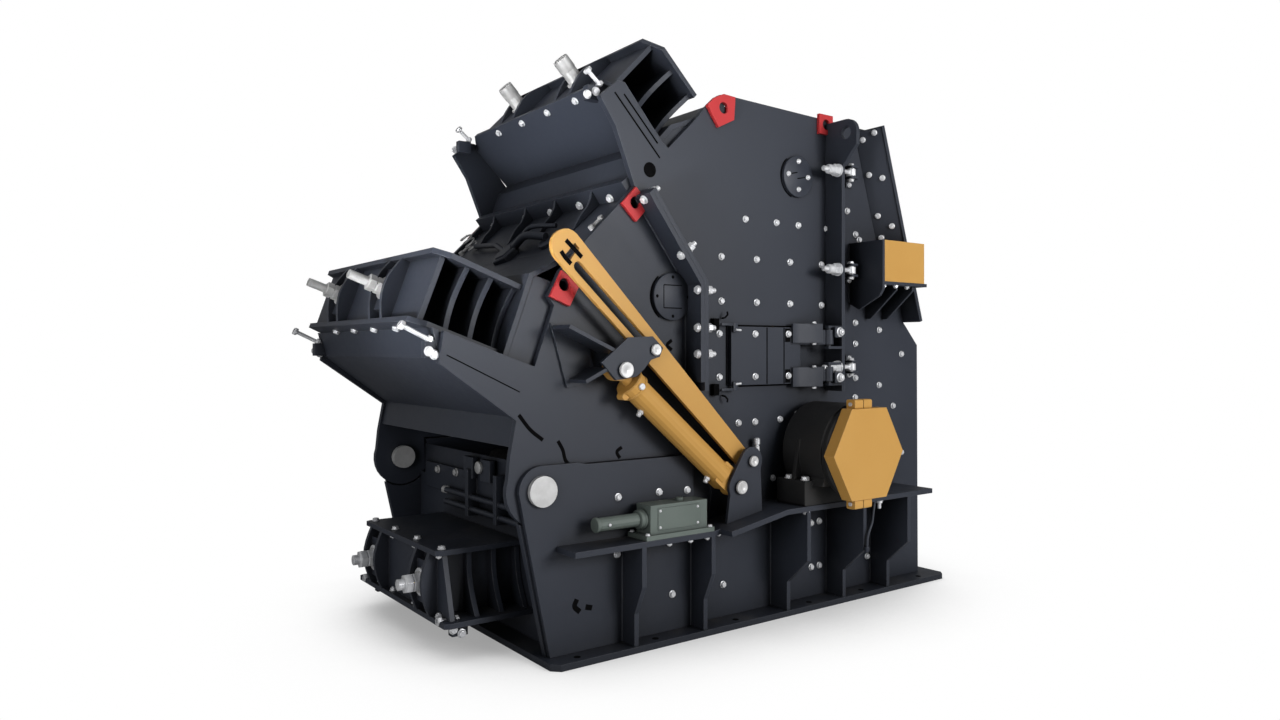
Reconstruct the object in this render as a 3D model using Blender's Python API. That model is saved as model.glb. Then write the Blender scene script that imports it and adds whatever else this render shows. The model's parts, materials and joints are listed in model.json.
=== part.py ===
# Horizontal-shaft impact crusher, about 2.9 m long, 2.1 m wide and 2.5 m high.
#
# Frame: Z up, feed inlet towards +X, hinged rear housing towards -X, rotor along Y.
# Every outline is drawn as (x, z) in the side view, measured from the middle of
# the base, and one empty then moves the whole machine to its reference point.
# "near" is the side towards -Y and "far" is its mirror image.

import math

import bmesh
import bpy
from mathutils import Matrix, Vector

# Sheet and clearance sizes
wall = 0.025                 # side wall plate
plate = 0.020                # flanges, ribs and box plates
touch = 0.0003               # space left between pieces that touch
running = 0.008              # space beside pieces that move
weld = 0.004                 # depth by which joined shapes enter each other
through = 0.10               # how far a cutter reaches past what it cuts

# Overall sizes
side_width = 1.34            # over the two side walls
base_ends = (-1.14, 1.15)
base_overhang = 0.105        # base flange beyond each side wall
base_thickness = 0.025
discharge_length = 1.96
front_x = 1.065              # outside of the front wall
reference_x = -0.28          # the part's reference point, from the middle of the base

# Feed inlet
inlet_top = (0.6567, 2.2105)
inlet_leg = 0.080            # width on the wall of the slanted plates behind the flange
inlet_leg_foot = 0.412       # and where they start, measured up the flange
inlet_foot = (0.948, 1.288)
front_wall_top = 1.175

# Top of the fixed housing
peak_left = (-0.269, 2.226)
peak_right = (-0.184, 2.229)
lug_hole_radius = 0.022
lug_hole_inset = 0.045       # from the peak, down and back
lug_holes_rear = [(-0.721, 1.722), (-1.045, 1.388)]
wall_dip = [(-0.355, 2.155), (-0.40, 2.105), (-0.545, 1.965)]
upper_arm = [(-0.583, 1.992), (-0.760, 2.193), (-0.793, 2.195), (-0.876, 2.123), (-0.803, 2.017)]
roof_bends = [(-0.396, 2.114), (-0.290, 2.188)]
roof_seat_top = -0.03        # the slope's top, measured up from the upper spindles
roof_seat_down = 0.07        # and its foot, below the upper box

# Seam between the fixed housing and the hinged rear housing
seam_top = (-0.70, 1.765)
seam_knee = (-0.437, 1.419)
seam_foot = (-0.437, 0.716)
seam_flange_reach = 0.10     # how far flanges stand out from the side wall
seam_flange_headroom = 0.085  # from the stay up to where they end
cross_flange_reach = 0.07    # and how far the flanges across the top do from the seam

# Main pivot of the rear housing
pivot = (-1.144, 0.638)
pivot_pin_radius = 0.053
pivot_pin_head = 0.018
pivot_lobe_radius = 0.133
pivot_clearance = 0.0012     # round the pivot pin, in the plate that it turns in

# Rotor
rotor_axis = (0.26, 0.71)
rotor_radius = 0.65
rotor_gap = 0.05             # from the rotor to each side wall
rotor_length = side_width - 2 * wall - 2 * rotor_gap
rotor_drum_radius = 0.50
blow_bar_width = 0.11
shaft_radius = 0.085

# Bearings
shelf_low = 0.43
shelf_high = 0.49
shelf_low_depth = 0.15
shelf_high_depth = 0.22
shelf_thickness = 0.022
shelf_left = -1.08
shelf_kinks = (-0.43, -0.09)
shelf_right = 0.88
shelf_ribs = (-0.776, -0.434, 0.036, 0.393, 0.703)
rib_step = (0.15, 0.26)      # heights between which a rib's edge leans out
bearing_foot_half = 0.29
bearing_foot_height = 0.06
bearing_dome_radius = 0.245
bearing_offset = 0.05        # space between side wall and pillow block
bearing_width = 0.25
cover_corner_radius = 0.222
cover_thickness = 0.055

# Adjuster boxes, each in its own axes: back along its spindles, across, and up
middle_seat, middle_tilt = (-1.560, 1.379), 20.0     # where the spindles meet the front
upper_seat, upper_tilt = (-0.715, 2.302), 44.0
lower_seat, lower_tilt = (-1.415, 0.262), 0.0
middle_box = {"length": 0.350, "low": -0.137, "high": 0.137, "front": 0.580, "half": 0.620,
              "foot": 0.606, "corner": 0.060}
upper_box = {"length": 0.306, "low": -0.127, "high": 0.173, "front": 0.562, "half": 0.6445,
             "foot": 0.6445, "corner": 0.070}
lower_box = {"length": 0.365, "low": -0.137, "high": 0.137, "front": 0.370, "half": 0.380,
             "foot": 0.460, "corner": 0.020}
box_web_pitch = 0.105
box_rib_bulge = 0.035
web_scallop = 0.030          # hollow in the ends of the webs behind the first
front_web_back = 0.030       # from the plates' front edges to the first web
rib_pair = (0.19, 0.31)
spindle_y = 0.25
spindle_radius = 0.034

# Lifting cylinders and stays
cylinder_offset = 0.075      # centre line from the side wall
bracket_gap = 0.040          # from that line to the outer bracket plates
bracket_plate = 0.015
cylinder_foot = (-0.275, 0.589)
rod_pin = (-0.851, 1.076)
rod_pin_radius = 0.024
barrel_radius = 0.050
rod_radius = 0.022
barrel_end_gap = 0.075       # from the gland to the rod pin at rest
rod_eye_radius = 0.052
rod_eye_clearance = 0.0125   # round the rod pin, which takes up the straight coupling
rod_eye_along = 0.0044       # rest offset of the rod eye along the cylinder
rod_eye_across = 0.0086      # and across it, towards the stay
stay_foot = (-0.208, 0.691)
stay_pin = (-0.711, 1.151)
stay_pin_radius = 0.007
stay_end = 0.522             # from the stay pin to the middle of the round end
stay_end_across = 0.030      # offset of that end, away from the cylinder
stay_end_radius = 0.064
stay_foot_radius = 0.037
stay_thickness = 0.018
stay_slot_half = 0.019
stay_slot_across = 0.0102    # rest offset of the slot, away from the cylinder
foot_pin_radius = 0.022

# Inspection doors
door_left = -0.225
door_right = 0.190
door_foot = rotor_axis[1] + bearing_dome_radius + 0.045
door_top = door_foot + 0.250
door_lap = 0.035             # overlap of the door round its opening
door_thickness = 0.022
door_hinge_x = 0.305
door_hinge_offset = 0.085    # hinge line from the side wall
knuckle_radius = 0.022
knuckle_pin_radius = 0.012
hinge_leaf = 0.012            # thickness of the strap from the door to its hinge
door_knuckles = [(door_top - 0.075, door_top - 0.010), (door_foot + 0.010, door_foot + 0.075)]
clamp_flange_x = 0.378
clamp_neck = (1.985, 2.075)  # heights between which the flange widens to its ear
clamp_ear_depth = 0.185
clamp_ear_radius = 0.062
clamp_ear_top = 2.196
clamp_ear_hole = 0.028

# Hand pump on the near shelf: its foot, body and lever tube
pump_offset = 0.068          # from the lower cheek
pump_foot = {"left": -0.765, "right": -0.430, "half": 0.062, "height": 0.018}
pump_body = {"left": -0.735, "right": -0.455, "half": 0.045, "height": 0.128}
pump_lever = {"end": -0.955, "radius": 0.026, "height": 0.072}

# Guard by the inlet, on the near side only
guard_left = 0.540
guard_right = 0.845
guard_foot = 1.450
guard_height = 0.205
guard_rib_back = 0.085       # from the end of the guard's shelf to its second rib
guard_inlet_gap = 0.027108   # from that end to the inlet's line
guard_depth = 0.20           # from the side wall

# Aprons and their pivot bars
upper_apron_pivot = (0.185, 1.930)
middle_apron_pivot = (-0.535, 1.365)
lower_apron_pivot = (-0.640, 0.600)
apron_bar_radius = 0.045
apron_cover_radius = 0.075
middle_cover_radius = 0.060
apron_thickness = 0.10
upper_apron_line = [(0.015, 0.020), (-0.205, -0.130), (-0.385, -0.350), (-0.455, -0.590)]
middle_apron_line = [(0, 0.035), (-0.075, -0.205), (-0.035, -0.435)]
lower_apron_line = [(0, 0.020), (0.050, -0.180), (0.140, -0.380)]

# Hinged housing: its back edge from the seam down, and its plates
rear_edge_top = [(-0.717, 1.791), (-0.792, 1.712), (-0.94, 1.565), (-1.054, 1.444), (-1.104, 1.346)]
rear_edge_recess = [(-1.079, 1.315), (-1.160, 1.090)]
rear_edge_low = [(-1.236, 0.896), (-1.260, 0.77)]
arm_low_front = (-1.529, 1.103)
rear_slope_bend = (-0.95, 1.535)
recess_wing = [(-1.06, 1.40), (-1.02, 1.31), (-1.10, 1.06)]
roof_wing = [(-0.400, 2.104), (-0.42, 1.98), (-0.52, 1.90)]
rear_floor_line = [(-1.223, 0.905), (-1.245, 0.80), (-1.05, 0.79)]
rear_wall_top = 0.56

# Lower cheek that carries the pivot, and the brackets of the rod and the stay
cheek_corner_radius = 0.092
cheek_heel_x = -1.108
cheek_step = (-0.99, -0.944)
chevron = [(-0.955, 1.105), (-0.890, 1.038), (-0.798, 1.050), (-0.762, 1.078), (-0.729, 1.113),
           (-0.689, 1.124), (-0.672, 1.158), (-0.721, 1.202), (-0.835, 1.197)]
chevron_webs = [[(-1.09, 1.235), (-0.885, 1.145)], [(-1.02, 1.035), (-0.925, 1.080)]]
chevron_foot = [(-1.10, 1.25), (-1.03, 1.01), (-0.90, 1.03), (-0.935, 1.18)]
foot_bracket_lobe = 0.058
foot_bracket_foot = (-0.345, -0.15)

outer = side_width / 2
inner = outer - wall
floor_z = base_thickness + touch
stay_slope = (stay_pin[1] - stay_foot[1]) / (stay_foot[0] - stay_pin[0])
seam_flange_foot = stay_foot[1] + stay_slope * (stay_foot[0] - seam_foot[0]) + seam_flange_headroom
sides = (("near", -1), ("far", 1))


def clear_scene():
    for old in list(bpy.data.objects):
        bpy.data.objects.remove(old, do_unlink=True)


def make_finish(name, color, roughness, metallic):
    finish = bpy.data.materials.new(name)
    finish.use_nodes = True
    shader = finish.node_tree.nodes["Principled BSDF"]
    shader.inputs["Base Color"].default_value = (*color, 1.0)
    shader.inputs["Roughness"].default_value = roughness
    shader.inputs["Metallic"].default_value = metallic
    return finish


def make_empty(name, place, parent=None):
    empty = bpy.data.objects.new(name, None)
    empty.location = place
    empty.parent = parent
    bpy.context.collection.objects.link(empty)
    return empty


def solid(mesh_edit):
    """Turn an edited mesh into an object of its own."""
    bmesh.ops.remove_doubles(mesh_edit, verts=mesh_edit.verts, dist=0.00001)
    bmesh.ops.recalc_face_normals(mesh_edit, faces=mesh_edit.faces)
    mesh = bpy.data.meshes.new("shape")
    mesh_edit.to_mesh(mesh)
    mesh_edit.free()
    shape = bpy.data.objects.new("shape", mesh)
    bpy.context.collection.objects.link(shape)
    return shape


def prism(outline, start, end):
    """Carry a side-view outline along Y from start to end."""
    edit = bmesh.new()
    low, high = min(start, end), max(start, end)
    corners = [edit.verts.new((x, low, z)) for x, z in outline]
    face = edit.faces.new(corners)
    grown = bmesh.ops.extrude_face_region(edit, geom=[face])
    moved = [item for item in grown["geom"] if isinstance(item, bmesh.types.BMVert)]
    bmesh.ops.translate(edit, verts=moved, vec=(0, high - low, 0))
    return solid(edit)


def cross_prism(outline, start, end):
    """Carry a (y, z) outline along X from start to end."""
    shape = prism(outline, -end, -start)
    shape.data.transform(Matrix.Rotation(math.radians(90), 4, "Z"))
    return shape


def slab(outline, bottom, top):
    """A flat outline in plan, drawn up from bottom to top."""
    edit = bmesh.new()
    face = edit.faces.new([edit.verts.new((x, y, bottom)) for x, y in outline])
    grown = bmesh.ops.extrude_face_region(edit, geom=[face])
    moved = [item for item in grown["geom"] if isinstance(item, bmesh.types.BMVert)]
    bmesh.ops.translate(edit, verts=moved, vec=(0, 0, top - bottom))
    return solid(edit)


def block(low, high):
    """A box between two corners."""
    (x0, y0, z0), (x1, y1, z1) = low, high
    return prism([(x0, z0), (x1, z0), (x1, z1), (x0, z1)], y0, y1)


def bar(start, end, radius, steps=16):
    """A round bar between two points in space."""
    start, end = Vector(start), Vector(end)
    line = end - start
    edit = bmesh.new()
    bmesh.ops.create_cone(edit, cap_ends=True, segments=steps, radius1=radius,
                          radius2=radius, depth=line.length)
    turn = line.to_track_quat("Z", "X").to_matrix().to_4x4()
    place = Matrix.Translation((start + end) / 2) @ turn
    bmesh.ops.transform(edit, matrix=place, verts=edit.verts)
    return solid(edit)


def cross_bar(center, radius, start, end, steps=16):
    """A round bar along Y through a side-view point."""
    return bar((center[0], start, center[1]), (center[0], end, center[1]), radius, steps)


def arc(center, radius, first, last, steps):
    """Points on an arc in the side view, angles in degrees."""
    points = []
    for step in range(steps + 1):
        angle = math.radians(first + (last - first) * step / steps)
        points.append((center[0] + radius * math.cos(angle), center[1] + radius * math.sin(angle)))
    return points


def along(start, end, distance, across=0.0):
    """The point a distance from start towards end, and then to the left of that line."""
    dx, dz = end[0] - start[0], end[1] - start[1]
    length = math.hypot(dx, dz)
    dx, dz = dx / length, dz / length
    return (start[0] + dx * distance - dz * across, start[1] + dz * distance + dx * across)


def shifted(line, distance):
    """A line of points moved sideways, to its left where the distance is above zero."""
    points = []
    for index, point in enumerate(line):
        before = line[max(index - 1, 0)]
        after = line[min(index + 1, len(line) - 1)]
        normals = []
        for a, b in ((before, point), (point, after)):
            length = math.hypot(b[0] - a[0], b[1] - a[1])
            if length > 0:
                normals.append(Vector((-(b[1] - a[1]) / length, (b[0] - a[0]) / length)))
        bisector = (normals[0] + normals[-1]).normalized()
        reach = distance / bisector.dot(normals[0])
        points.append((point[0] + bisector.x * reach, point[1] + bisector.y * reach))
    return points


def strip(line, left, right=0.0):
    """The outline of a bent plate: a line of points widened to its left and right."""
    return shifted(line, left) + shifted(line, -right)[::-1]


def node(name, finish, parent, solids, cuts=()):
    """Join solids and take the cuts away, as one named piece of the machine."""
    piece = solids[0]
    piece.name = name
    piece.data.name = name
    piece.data.materials.append(finish)
    for operation, others in (("UNION", solids[1:]), ("DIFFERENCE", cuts)):
        for other in others:
            join = piece.modifiers.new(operation.lower(), "BOOLEAN")
            join.operation = operation
            join.object = other
            other.hide_render = True
            other.display_type = "WIRE"
            other.parent = machine
    piece.parent = parent
    if parent is not machine:
        piece.location = -parent.location
    piece.data.shade_smooth()
    piece.data.set_sharp_from_angle(angle=math.radians(35))
    return piece


def box_point(seat, tilt, back, up):
    """The side-view place of a point given in a box's own axes."""
    angle = math.radians(tilt)
    return (seat[0] + math.cos(angle) * back + math.sin(angle) * up,
            seat[1] - math.sin(angle) * back + math.cos(angle) * up)


def into_machine(seat, tilt, shapes):
    """Turn shapes drawn in a box's own axes into the machine's."""
    angle = math.radians(tilt)
    turn = Matrix(((math.cos(angle), 0, math.sin(angle), seat[0]), (0, 1, 0, 0),
                   (-math.sin(angle), 0, math.cos(angle), seat[1]), (0, 0, 0, 1)))
    for shape in shapes:
        shape.data.transform(turn)
    return shapes


def box_plate(box, half, bottom, top):
    """A top or bottom plate, with its two front corners cut off."""
    front = box["front"] + half - box["half"]
    outline = [(0, -front), (0, front), (box["corner"], half), (box["length"], half),
               (box["length"], -half), (box["corner"], -half)]
    return slab(outline[::-1], bottom, top)


def box_web(box, back, inset, scallop):
    """A web across the box, whose ends lean between the two plates and curve inwards."""
    low, high = box["low"] + weld, box["high"] - weld
    lean = min(1, (back + plate) / box["corner"])
    shrink = (box["half"] - box["front"]) * (1 - lean) + inset
    end = []
    for step in range(9):
        share = step / 8
        half = box["foot"] + (box["half"] - box["foot"]) * share - shrink
        end.append((half - scallop * math.sin(math.pi * share), low + (high - low) * share))
    return cross_prism(end + [(-y, z) for y, z in reversed(end)], back, back + plate)


def box_rib(box):
    """The outline of a rib whose front edge bulges past the plates of its box."""
    low, high = box["low"] + plate / 2, box["high"] - plate / 2
    points = [(front_web_back + weld, low), (0.5 * weld, low)]
    for step in range(1, 8):
        share = step / 8
        bulge = box_rib_bulge * math.sin(math.pi * share)
        points.append((0.5 * weld - bulge, low + (high - low) * share))
    return points + [(0.5 * weld, high), (front_web_back + weld, high)]


def adjuster_box(name, seat, tilt, box, parent):
    """A welded box of two plates, webs across it and rib pairs that seat the spindles."""
    shapes = [box_plate(box, box["half"], box["high"] - plate, box["high"])]
    shapes.append(box_plate(box, box["foot"], box["low"], box["low"] + plate))
    room = box["length"] - front_web_back - plate - weld
    spaces = max(2, round(room / box_web_pitch))
    for index in range(spaces + 1):
        back = front_web_back + room / spaces * index
        hollow = web_scallop if index else 0
        shapes.append(box_web(box, back, plate, hollow))
    for side in (-1, 1):
        for y in rib_pair:
            shapes.append(prism(box_rib(box), side * (y - plate / 2), side * (y + plate / 2)))
        ends = side * (rib_pair[0] - weld), side * (rib_pair[1] + weld)
        seat_face = [(0, -0.6 * box["high"]), (front_web_back + weld, -0.6 * box["high"]),
                     (front_web_back + weld, 0.6 * box["high"]), (0, 0.6 * box["high"])]
        shapes.append(prism(seat_face, *ends))
    holes = [bar((-0.07, side * spindle_y, 0), (box["length"] + 0.04, side * spindle_y, 0),
                 spindle_radius + touch, 12) for side in (-1, 1)]
    into_machine(seat, tilt, shapes + holes)
    return node(name, dark_paint, parent, shapes, holes)


def spindle(name, seat, tilt, side, length, reach, stepped, parent):
    """An adjuster spindle with its washer on the seat, and a thinner thread where it is stepped."""
    def place(out):
        x, z = box_point(seat, tilt, -out, 0)
        return (x, side * spindle_y, z)
    solids = [bar(place(plate - length), place(0.008), spindle_radius, 12)]
    if stepped:
        solids.append(bar(place(touch), place(0.016), spindle_radius * 1.25, 16))
        solids.append(bar(place(0.014), place(0.071), spindle_radius * 0.85, 6))
        solids.append(bar(place(0.065), place(reach), spindle_radius * 0.5, 12))
    else:
        solids.append(bar(place(touch), place(0.012), spindle_radius * 1.25, 16))
        solids.append(bar(place(0.010), place(reach), spindle_radius, 16))
    return node(name, grey_steel, parent, solids)


def build_base():
    back, front = base_ends
    wide = outer + base_overhang
    cut = 0.03
    outline = [(back + cut, -wide), (front - cut, -wide), (front, -wide + cut), (front, wide - cut),
               (front - cut, wide), (back + cut, wide), (back, wide - cut), (back, -wide + cut)]
    half = inner - plate
    discharge = block((-discharge_length / 2, -half, -0.1), (discharge_length / 2, half, 0.1))
    node("base_frame", dark_paint, machine, [slab(outline, 0, base_thickness)], [discharge])


def fixed_wall_outline():
    """The side view of the fixed housing, walked round clockwise from the base's front."""
    ledge = seam_foot[1] - touch
    ring = pivot_lobe_radius + running
    first = math.degrees(math.asin((ledge - pivot[1]) / ring))
    outline = [(front_x, floor_z), (front_x - running, front_wall_top), inlet_foot, inlet_top]
    outline += [peak_right, peak_left, *wall_dip, *upper_arm]
    outline += [seam_top, seam_knee, (seam_foot[0], ledge)]
    outline += arc(pivot, ring, first, -125, 10)
    outline += [(-1.115, floor_z)]
    return outline


def build_side_walls():
    for name, side in sides:
        wall_plate = prism(fixed_wall_outline(), side * inner, side * outer)
        start, end = side * (inner - through), side * (outer + through)
        holes = [cross_bar(rotor_axis, shaft_radius + running, start, end, 20)]
        lug = (peak_left[0] + lug_hole_inset, peak_left[1] - lug_hole_inset)
        holes.append(cross_bar(lug, lug_hole_radius, start, end, 12))
        for center in (upper_apron_pivot, lower_apron_pivot):
            holes.append(cross_bar(center, apron_bar_radius + touch, start, end, 16))
        low, high = sorted((start, end))
        holes.append(block((door_left + door_lap, low, door_foot + door_lap),
                           (door_right - door_lap, high, door_top - door_lap)))
        node("side_wall_" + name, dark_paint, machine, [wall_plate], holes)


def cheek_outline():
    """The outer plate low on the rear, which carries the main pivot."""
    corner = cheek_corner_radius
    end = shelf_kinks[0] - touch
    top = seam_foot[1] + 0.006
    outline = [(cheek_heel_x, floor_z), *arc(pivot, corner, 180, 90, 6)]
    outline += [(cheek_step[0], pivot[1] + corner), (cheek_step[1], top), (end, top), (end, floor_z)]
    return outline


def build_lower_cheeks():
    for name, side in sides:
        start = side * (outer + touch)
        end = side * (outer + plate)
        plate_piece = prism(cheek_outline()[::-1], start, end)
        hole = cross_bar(pivot, pivot_pin_radius + pivot_clearance, start - side * through,
                         end + side * through, 20)
        node("lower_cheek_" + name, dark_paint, machine, [plate_piece], [hole])


def build_shelves():
    """The bearing shelf of each side, with the ribs that stand under it."""
    for name, side in sides:
        against_cheek = outer + plate + 2 * touch
        against_wall = outer + touch
        kink_low, kink_high = shelf_kinks
        line = [(shelf_left, shelf_low), (kink_low, shelf_low), (kink_high, shelf_high),
                (shelf_right, shelf_high)]
        left_line = [line[0], line[1], along(line[1], line[2], 0.06)]
        left_plate = prism(strip(left_line, 0, shelf_thickness), side * against_cheek,
                           side * (outer + shelf_low_depth))
        right_line = [along(line[1], line[2], 0.03), line[2], line[3]]
        right_plate = prism(strip(right_line, 0, shelf_thickness), side * against_wall,
                            side * (outer + shelf_high_depth))
        solids = [left_plate, right_plate]
        for x in shelf_ribs:
            low_side = x < kink_low + 0.05
            top = (shelf_low if low_side else shelf_high) - shelf_thickness + weld
            inside = against_cheek if low_side else against_wall
            reach = outer + (shelf_low_depth if low_side else shelf_high_depth)
            foot = outer + base_overhang - 0.005
            profile = [(side * inside, floor_z), (side * foot, floor_z), (side * foot, rib_step[0]),
                       (side * reach, rib_step[1]), (side * reach, top), (side * inside, top)]
            if side < 0:
                profile = profile[::-1]
            solids.append(cross_prism(profile, x - plate / 2, x + plate / 2))
        node("bearing_shelf_" + name, dark_paint, machine, solids)


def build_bearings():
    foot_z = shelf_high + touch
    x, z = rotor_axis
    for name, side in sides:
        start = side * (outer + bearing_offset)
        end = side * (outer + bearing_offset + bearing_width)
        spread = math.degrees(math.acos((bearing_foot_half - 0.07) / bearing_dome_radius))
        outline = [(x + bearing_foot_half, foot_z), (x + bearing_foot_half, foot_z + bearing_foot_height)]
        outline += arc(rotor_axis, bearing_dome_radius, -spread, 180 + spread, 16)
        outline += [(x - bearing_foot_half, foot_z + bearing_foot_height),
                    (x - bearing_foot_half, foot_z)]
        block_piece = prism(outline, start, end)
        bore = cross_bar(rotor_axis, shaft_radius + touch, start - side * through,
                         end + side * through, 24)
        node("bearing_housing_" + name, black_paint, machine, [block_piece], [bore])
        face = end + side * touch
        hexagon = arc(rotor_axis, cover_corner_radius, 0, 300, 5)
        cover_piece = prism(hexagon, face, face + side * cover_thickness)
        tabs = []
        for up in (-1, 1):
            edge = z + up * cover_corner_radius * math.cos(math.radians(30))
            low, high = sorted((edge - up * weld, edge + up * 0.022))
            near_face, far_face = sorted((face, face + side * 0.02))
            tabs.append(block((x - 0.035, near_face, low), (x + 0.035, far_face, high)))
        node("bearing_cover_" + name, yellow_paint, machine, [cover_piece, *tabs])


def rotor_outline():
    """A round drum with a hooked blow bar standing out of each quarter."""
    half = blow_bar_width / 2
    outline = []
    for quarter in range(4):
        heading = 90 * quarter + 20
        lead = math.degrees(math.asin(half / rotor_drum_radius))
        outline += arc(rotor_axis, rotor_drum_radius, heading - 90 + lead + 4, heading - lead - 4, 5)
        turn = Matrix.Rotation(math.radians(heading), 2)
        for out, across in ((rotor_drum_radius - 0.05, -half - 0.03), (rotor_drum_radius, -half),
                            (rotor_radius - 0.005, -half), (rotor_radius - 0.005, half),
                            (rotor_drum_radius - 0.04, half)):
            spot = turn @ Vector((out, across))
            outline.append((rotor_axis[0] + spot.x, rotor_axis[1] + spot.y))
    return outline


def build_rotor():
    half = rotor_length / 2
    end = outer + bearing_offset + bearing_width - touch
    node("rotor", wear_steel, machine, [prism(rotor_outline(), -half, half)],
         [cross_bar(rotor_axis, shaft_radius + touch, -1, 1, 24)])
    node("rotor_shaft", grey_steel, machine, [cross_bar(rotor_axis, shaft_radius, -end, end, 24)])


def build_front():
    """The wall below the feed inlet and the bolted flange round the inlet."""
    span = inner - touch
    shoulder = (front_x - running, front_wall_top)
    line = [(shoulder[0], floor_z), shoulder, along(inlet_foot, shoulder, plate + touch)]
    node("front_wall", dark_paint, machine, [prism(strip(line, wall), -span, span)])
    reach = outer + seam_flange_reach
    ring = prism(strip([inlet_foot, inlet_top], -touch, plate + touch), -reach, reach)
    foot, top = along(inlet_foot, inlet_top, 0.03), along(inlet_top, inlet_foot, 0.05)
    opening = prism(strip([foot, top], 0.1, 0.1), -inner, inner)
    tilt = math.degrees(math.atan2(inlet_top[0] - inlet_foot[0], inlet_top[1] - inlet_foot[1]))
    long = math.dist(inlet_foot, inlet_top) - weld
    start = outer + touch
    leg = [(-inlet_leg, start), (touch + weld, reach - weld), (touch + weld, reach - 0.03),
           (plate - inlet_leg, start)]
    legs = [slab([(back, side * y) for back, y in leg], inlet_leg_foot, long) for side in (-1, 1)]
    into_machine(inlet_foot, tilt, legs)
    node("inlet_flange", dark_paint, machine, [ring, *legs], [opening])


def build_roof():
    """The fixed housing's top, and the slope that seats the upper adjuster box."""
    span = inner - touch
    seat_back = upper_box["length"] + touch
    seat_high = box_point(upper_seat, upper_tilt, seat_back, roof_seat_top)
    seat_low = box_point(upper_seat, upper_tilt, seat_back, upper_box["low"] - roof_seat_down)
    line = [along(seam_top, seam_knee, 0, plate / 2), seat_low, seat_high, *roof_bends,
            (inlet_top[0] - 0.03, inlet_top[1] - 0.012)]
    end = along(seam_top, seam_knee, -cross_flange_reach)
    flange = prism(strip([along(seam_top, seam_knee, 0.03), end], -touch, plate + touch), -span, span)
    shapes = [prism(strip(line, 0, plate), -span, span), flange]
    for side in (-1, 1):
        shapes.append(prism([seat_low, seat_high, *roof_wing], side * (span - plate),
                            side * (span - weld / 2)))
    node("roof", dark_paint, machine, shapes)


def build_rear_wall():
    """The upright wall behind the lower adjuster box."""
    span = inner - touch
    back = lower_seat[0] + lower_box["length"] + touch
    upright = block((back, -span, floor_z), (back + plate, span, rear_wall_top))
    node("rear_wall", dark_paint, machine, [upright])


def build_seam_flanges():
    """The two halves of the bolted seam: one on the fixed housing, one on the hinged one."""
    reach = outer + seam_flange_reach
    for name, half, parent in (("fixed_seam_flange", "right", machine),
                               ("rear_seam_flange", "left", housing)):
        for label, side in sides:
            width = (touch, plate + touch)
            foot = seam_flange_foot if half == "right" else seam_flange_foot + 0.035
            path = [(seam_foot[0], foot), seam_knee, seam_top]
            outline = strip(path, -width[0], width[1]) if half == "right" else \
                strip(path, width[1], -width[0])
            node(name + "_" + label, dark_paint, parent,
                 [prism(outline, side * (outer + touch), side * reach)])


def build_clamp_flanges():
    """The upright flange that the swing bolts clamp, with the door's hinge pin on it."""
    x = clamp_flange_x
    foot = rotor_axis[1] + bearing_dome_radius + running
    ear = (clamp_ear_depth - clamp_ear_radius, clamp_ear_top - clamp_ear_radius)
    for name, side in sides:
        outline = [(touch, clamp_ear_top), (touch, foot), (seam_flange_reach, foot)]
        outline += [(seam_flange_reach, clamp_neck[0]), (clamp_ear_depth, clamp_neck[1])]
        outline += arc(ear, clamp_ear_radius, 0, 90, 6)
        solids = [cross_prism([(side * (outer + out), z) for out, z in outline], x, x + plate)]
        middle = side * (outer + ear[0])
        hole = bar((x - 0.05, middle, ear[1]), (x + plate + 0.05, middle, ear[1]), clamp_ear_hole, 16)
        line = side * (outer + door_hinge_offset)
        for bottom, top in door_knuckles:
            pin = bar((door_hinge_x, line, bottom - 0.02), (door_hinge_x, line, top + 0.02),
                      knuckle_pin_radius, 12)
            solids.append(pin)
            for z in (bottom - 0.02, top + 0.008):
                y0, y1 = sorted((line - 0.016, line + 0.016))
                solids.append(block((door_hinge_x - 0.016, y0, z), (x + weld, y1, z + 0.012)))
        node("clamp_flange_" + name, dark_paint, machine, solids, [hole])


def build_doors():
    for name, side in sides:
        hinge = make_empty("door_hinge_" + name,
                           (door_hinge_x, side * (outer + door_hinge_offset), 0), machine)
        low, high = sorted((side * (outer + touch), side * (outer + door_thickness)))
        solids = [block((door_left, low, door_foot), (door_right, high, door_top))]
        line = side * (outer + door_hinge_offset)
        cuts = []
        for bottom, top in door_knuckles:
            solids.append(bar((door_hinge_x, line, bottom), (door_hinge_x, line, top),
                              knuckle_radius, 16))
            path = [(door_right - 0.06, side * (outer + door_thickness - weld)),
                    (door_right - 0.01, side * (outer + door_thickness - weld)),
                    (door_hinge_x - 0.012, line)]
            solids.append(slab(strip(path, hinge_leaf / 2, hinge_leaf / 2), bottom, top))
            cuts.append(bar((door_hinge_x, line, bottom - 0.1), (door_hinge_x, line, top + 0.1),
                            knuckle_pin_radius + 0.001, 12))
        node("door_" + name, dark_paint, hinge, solids, cuts)


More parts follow.
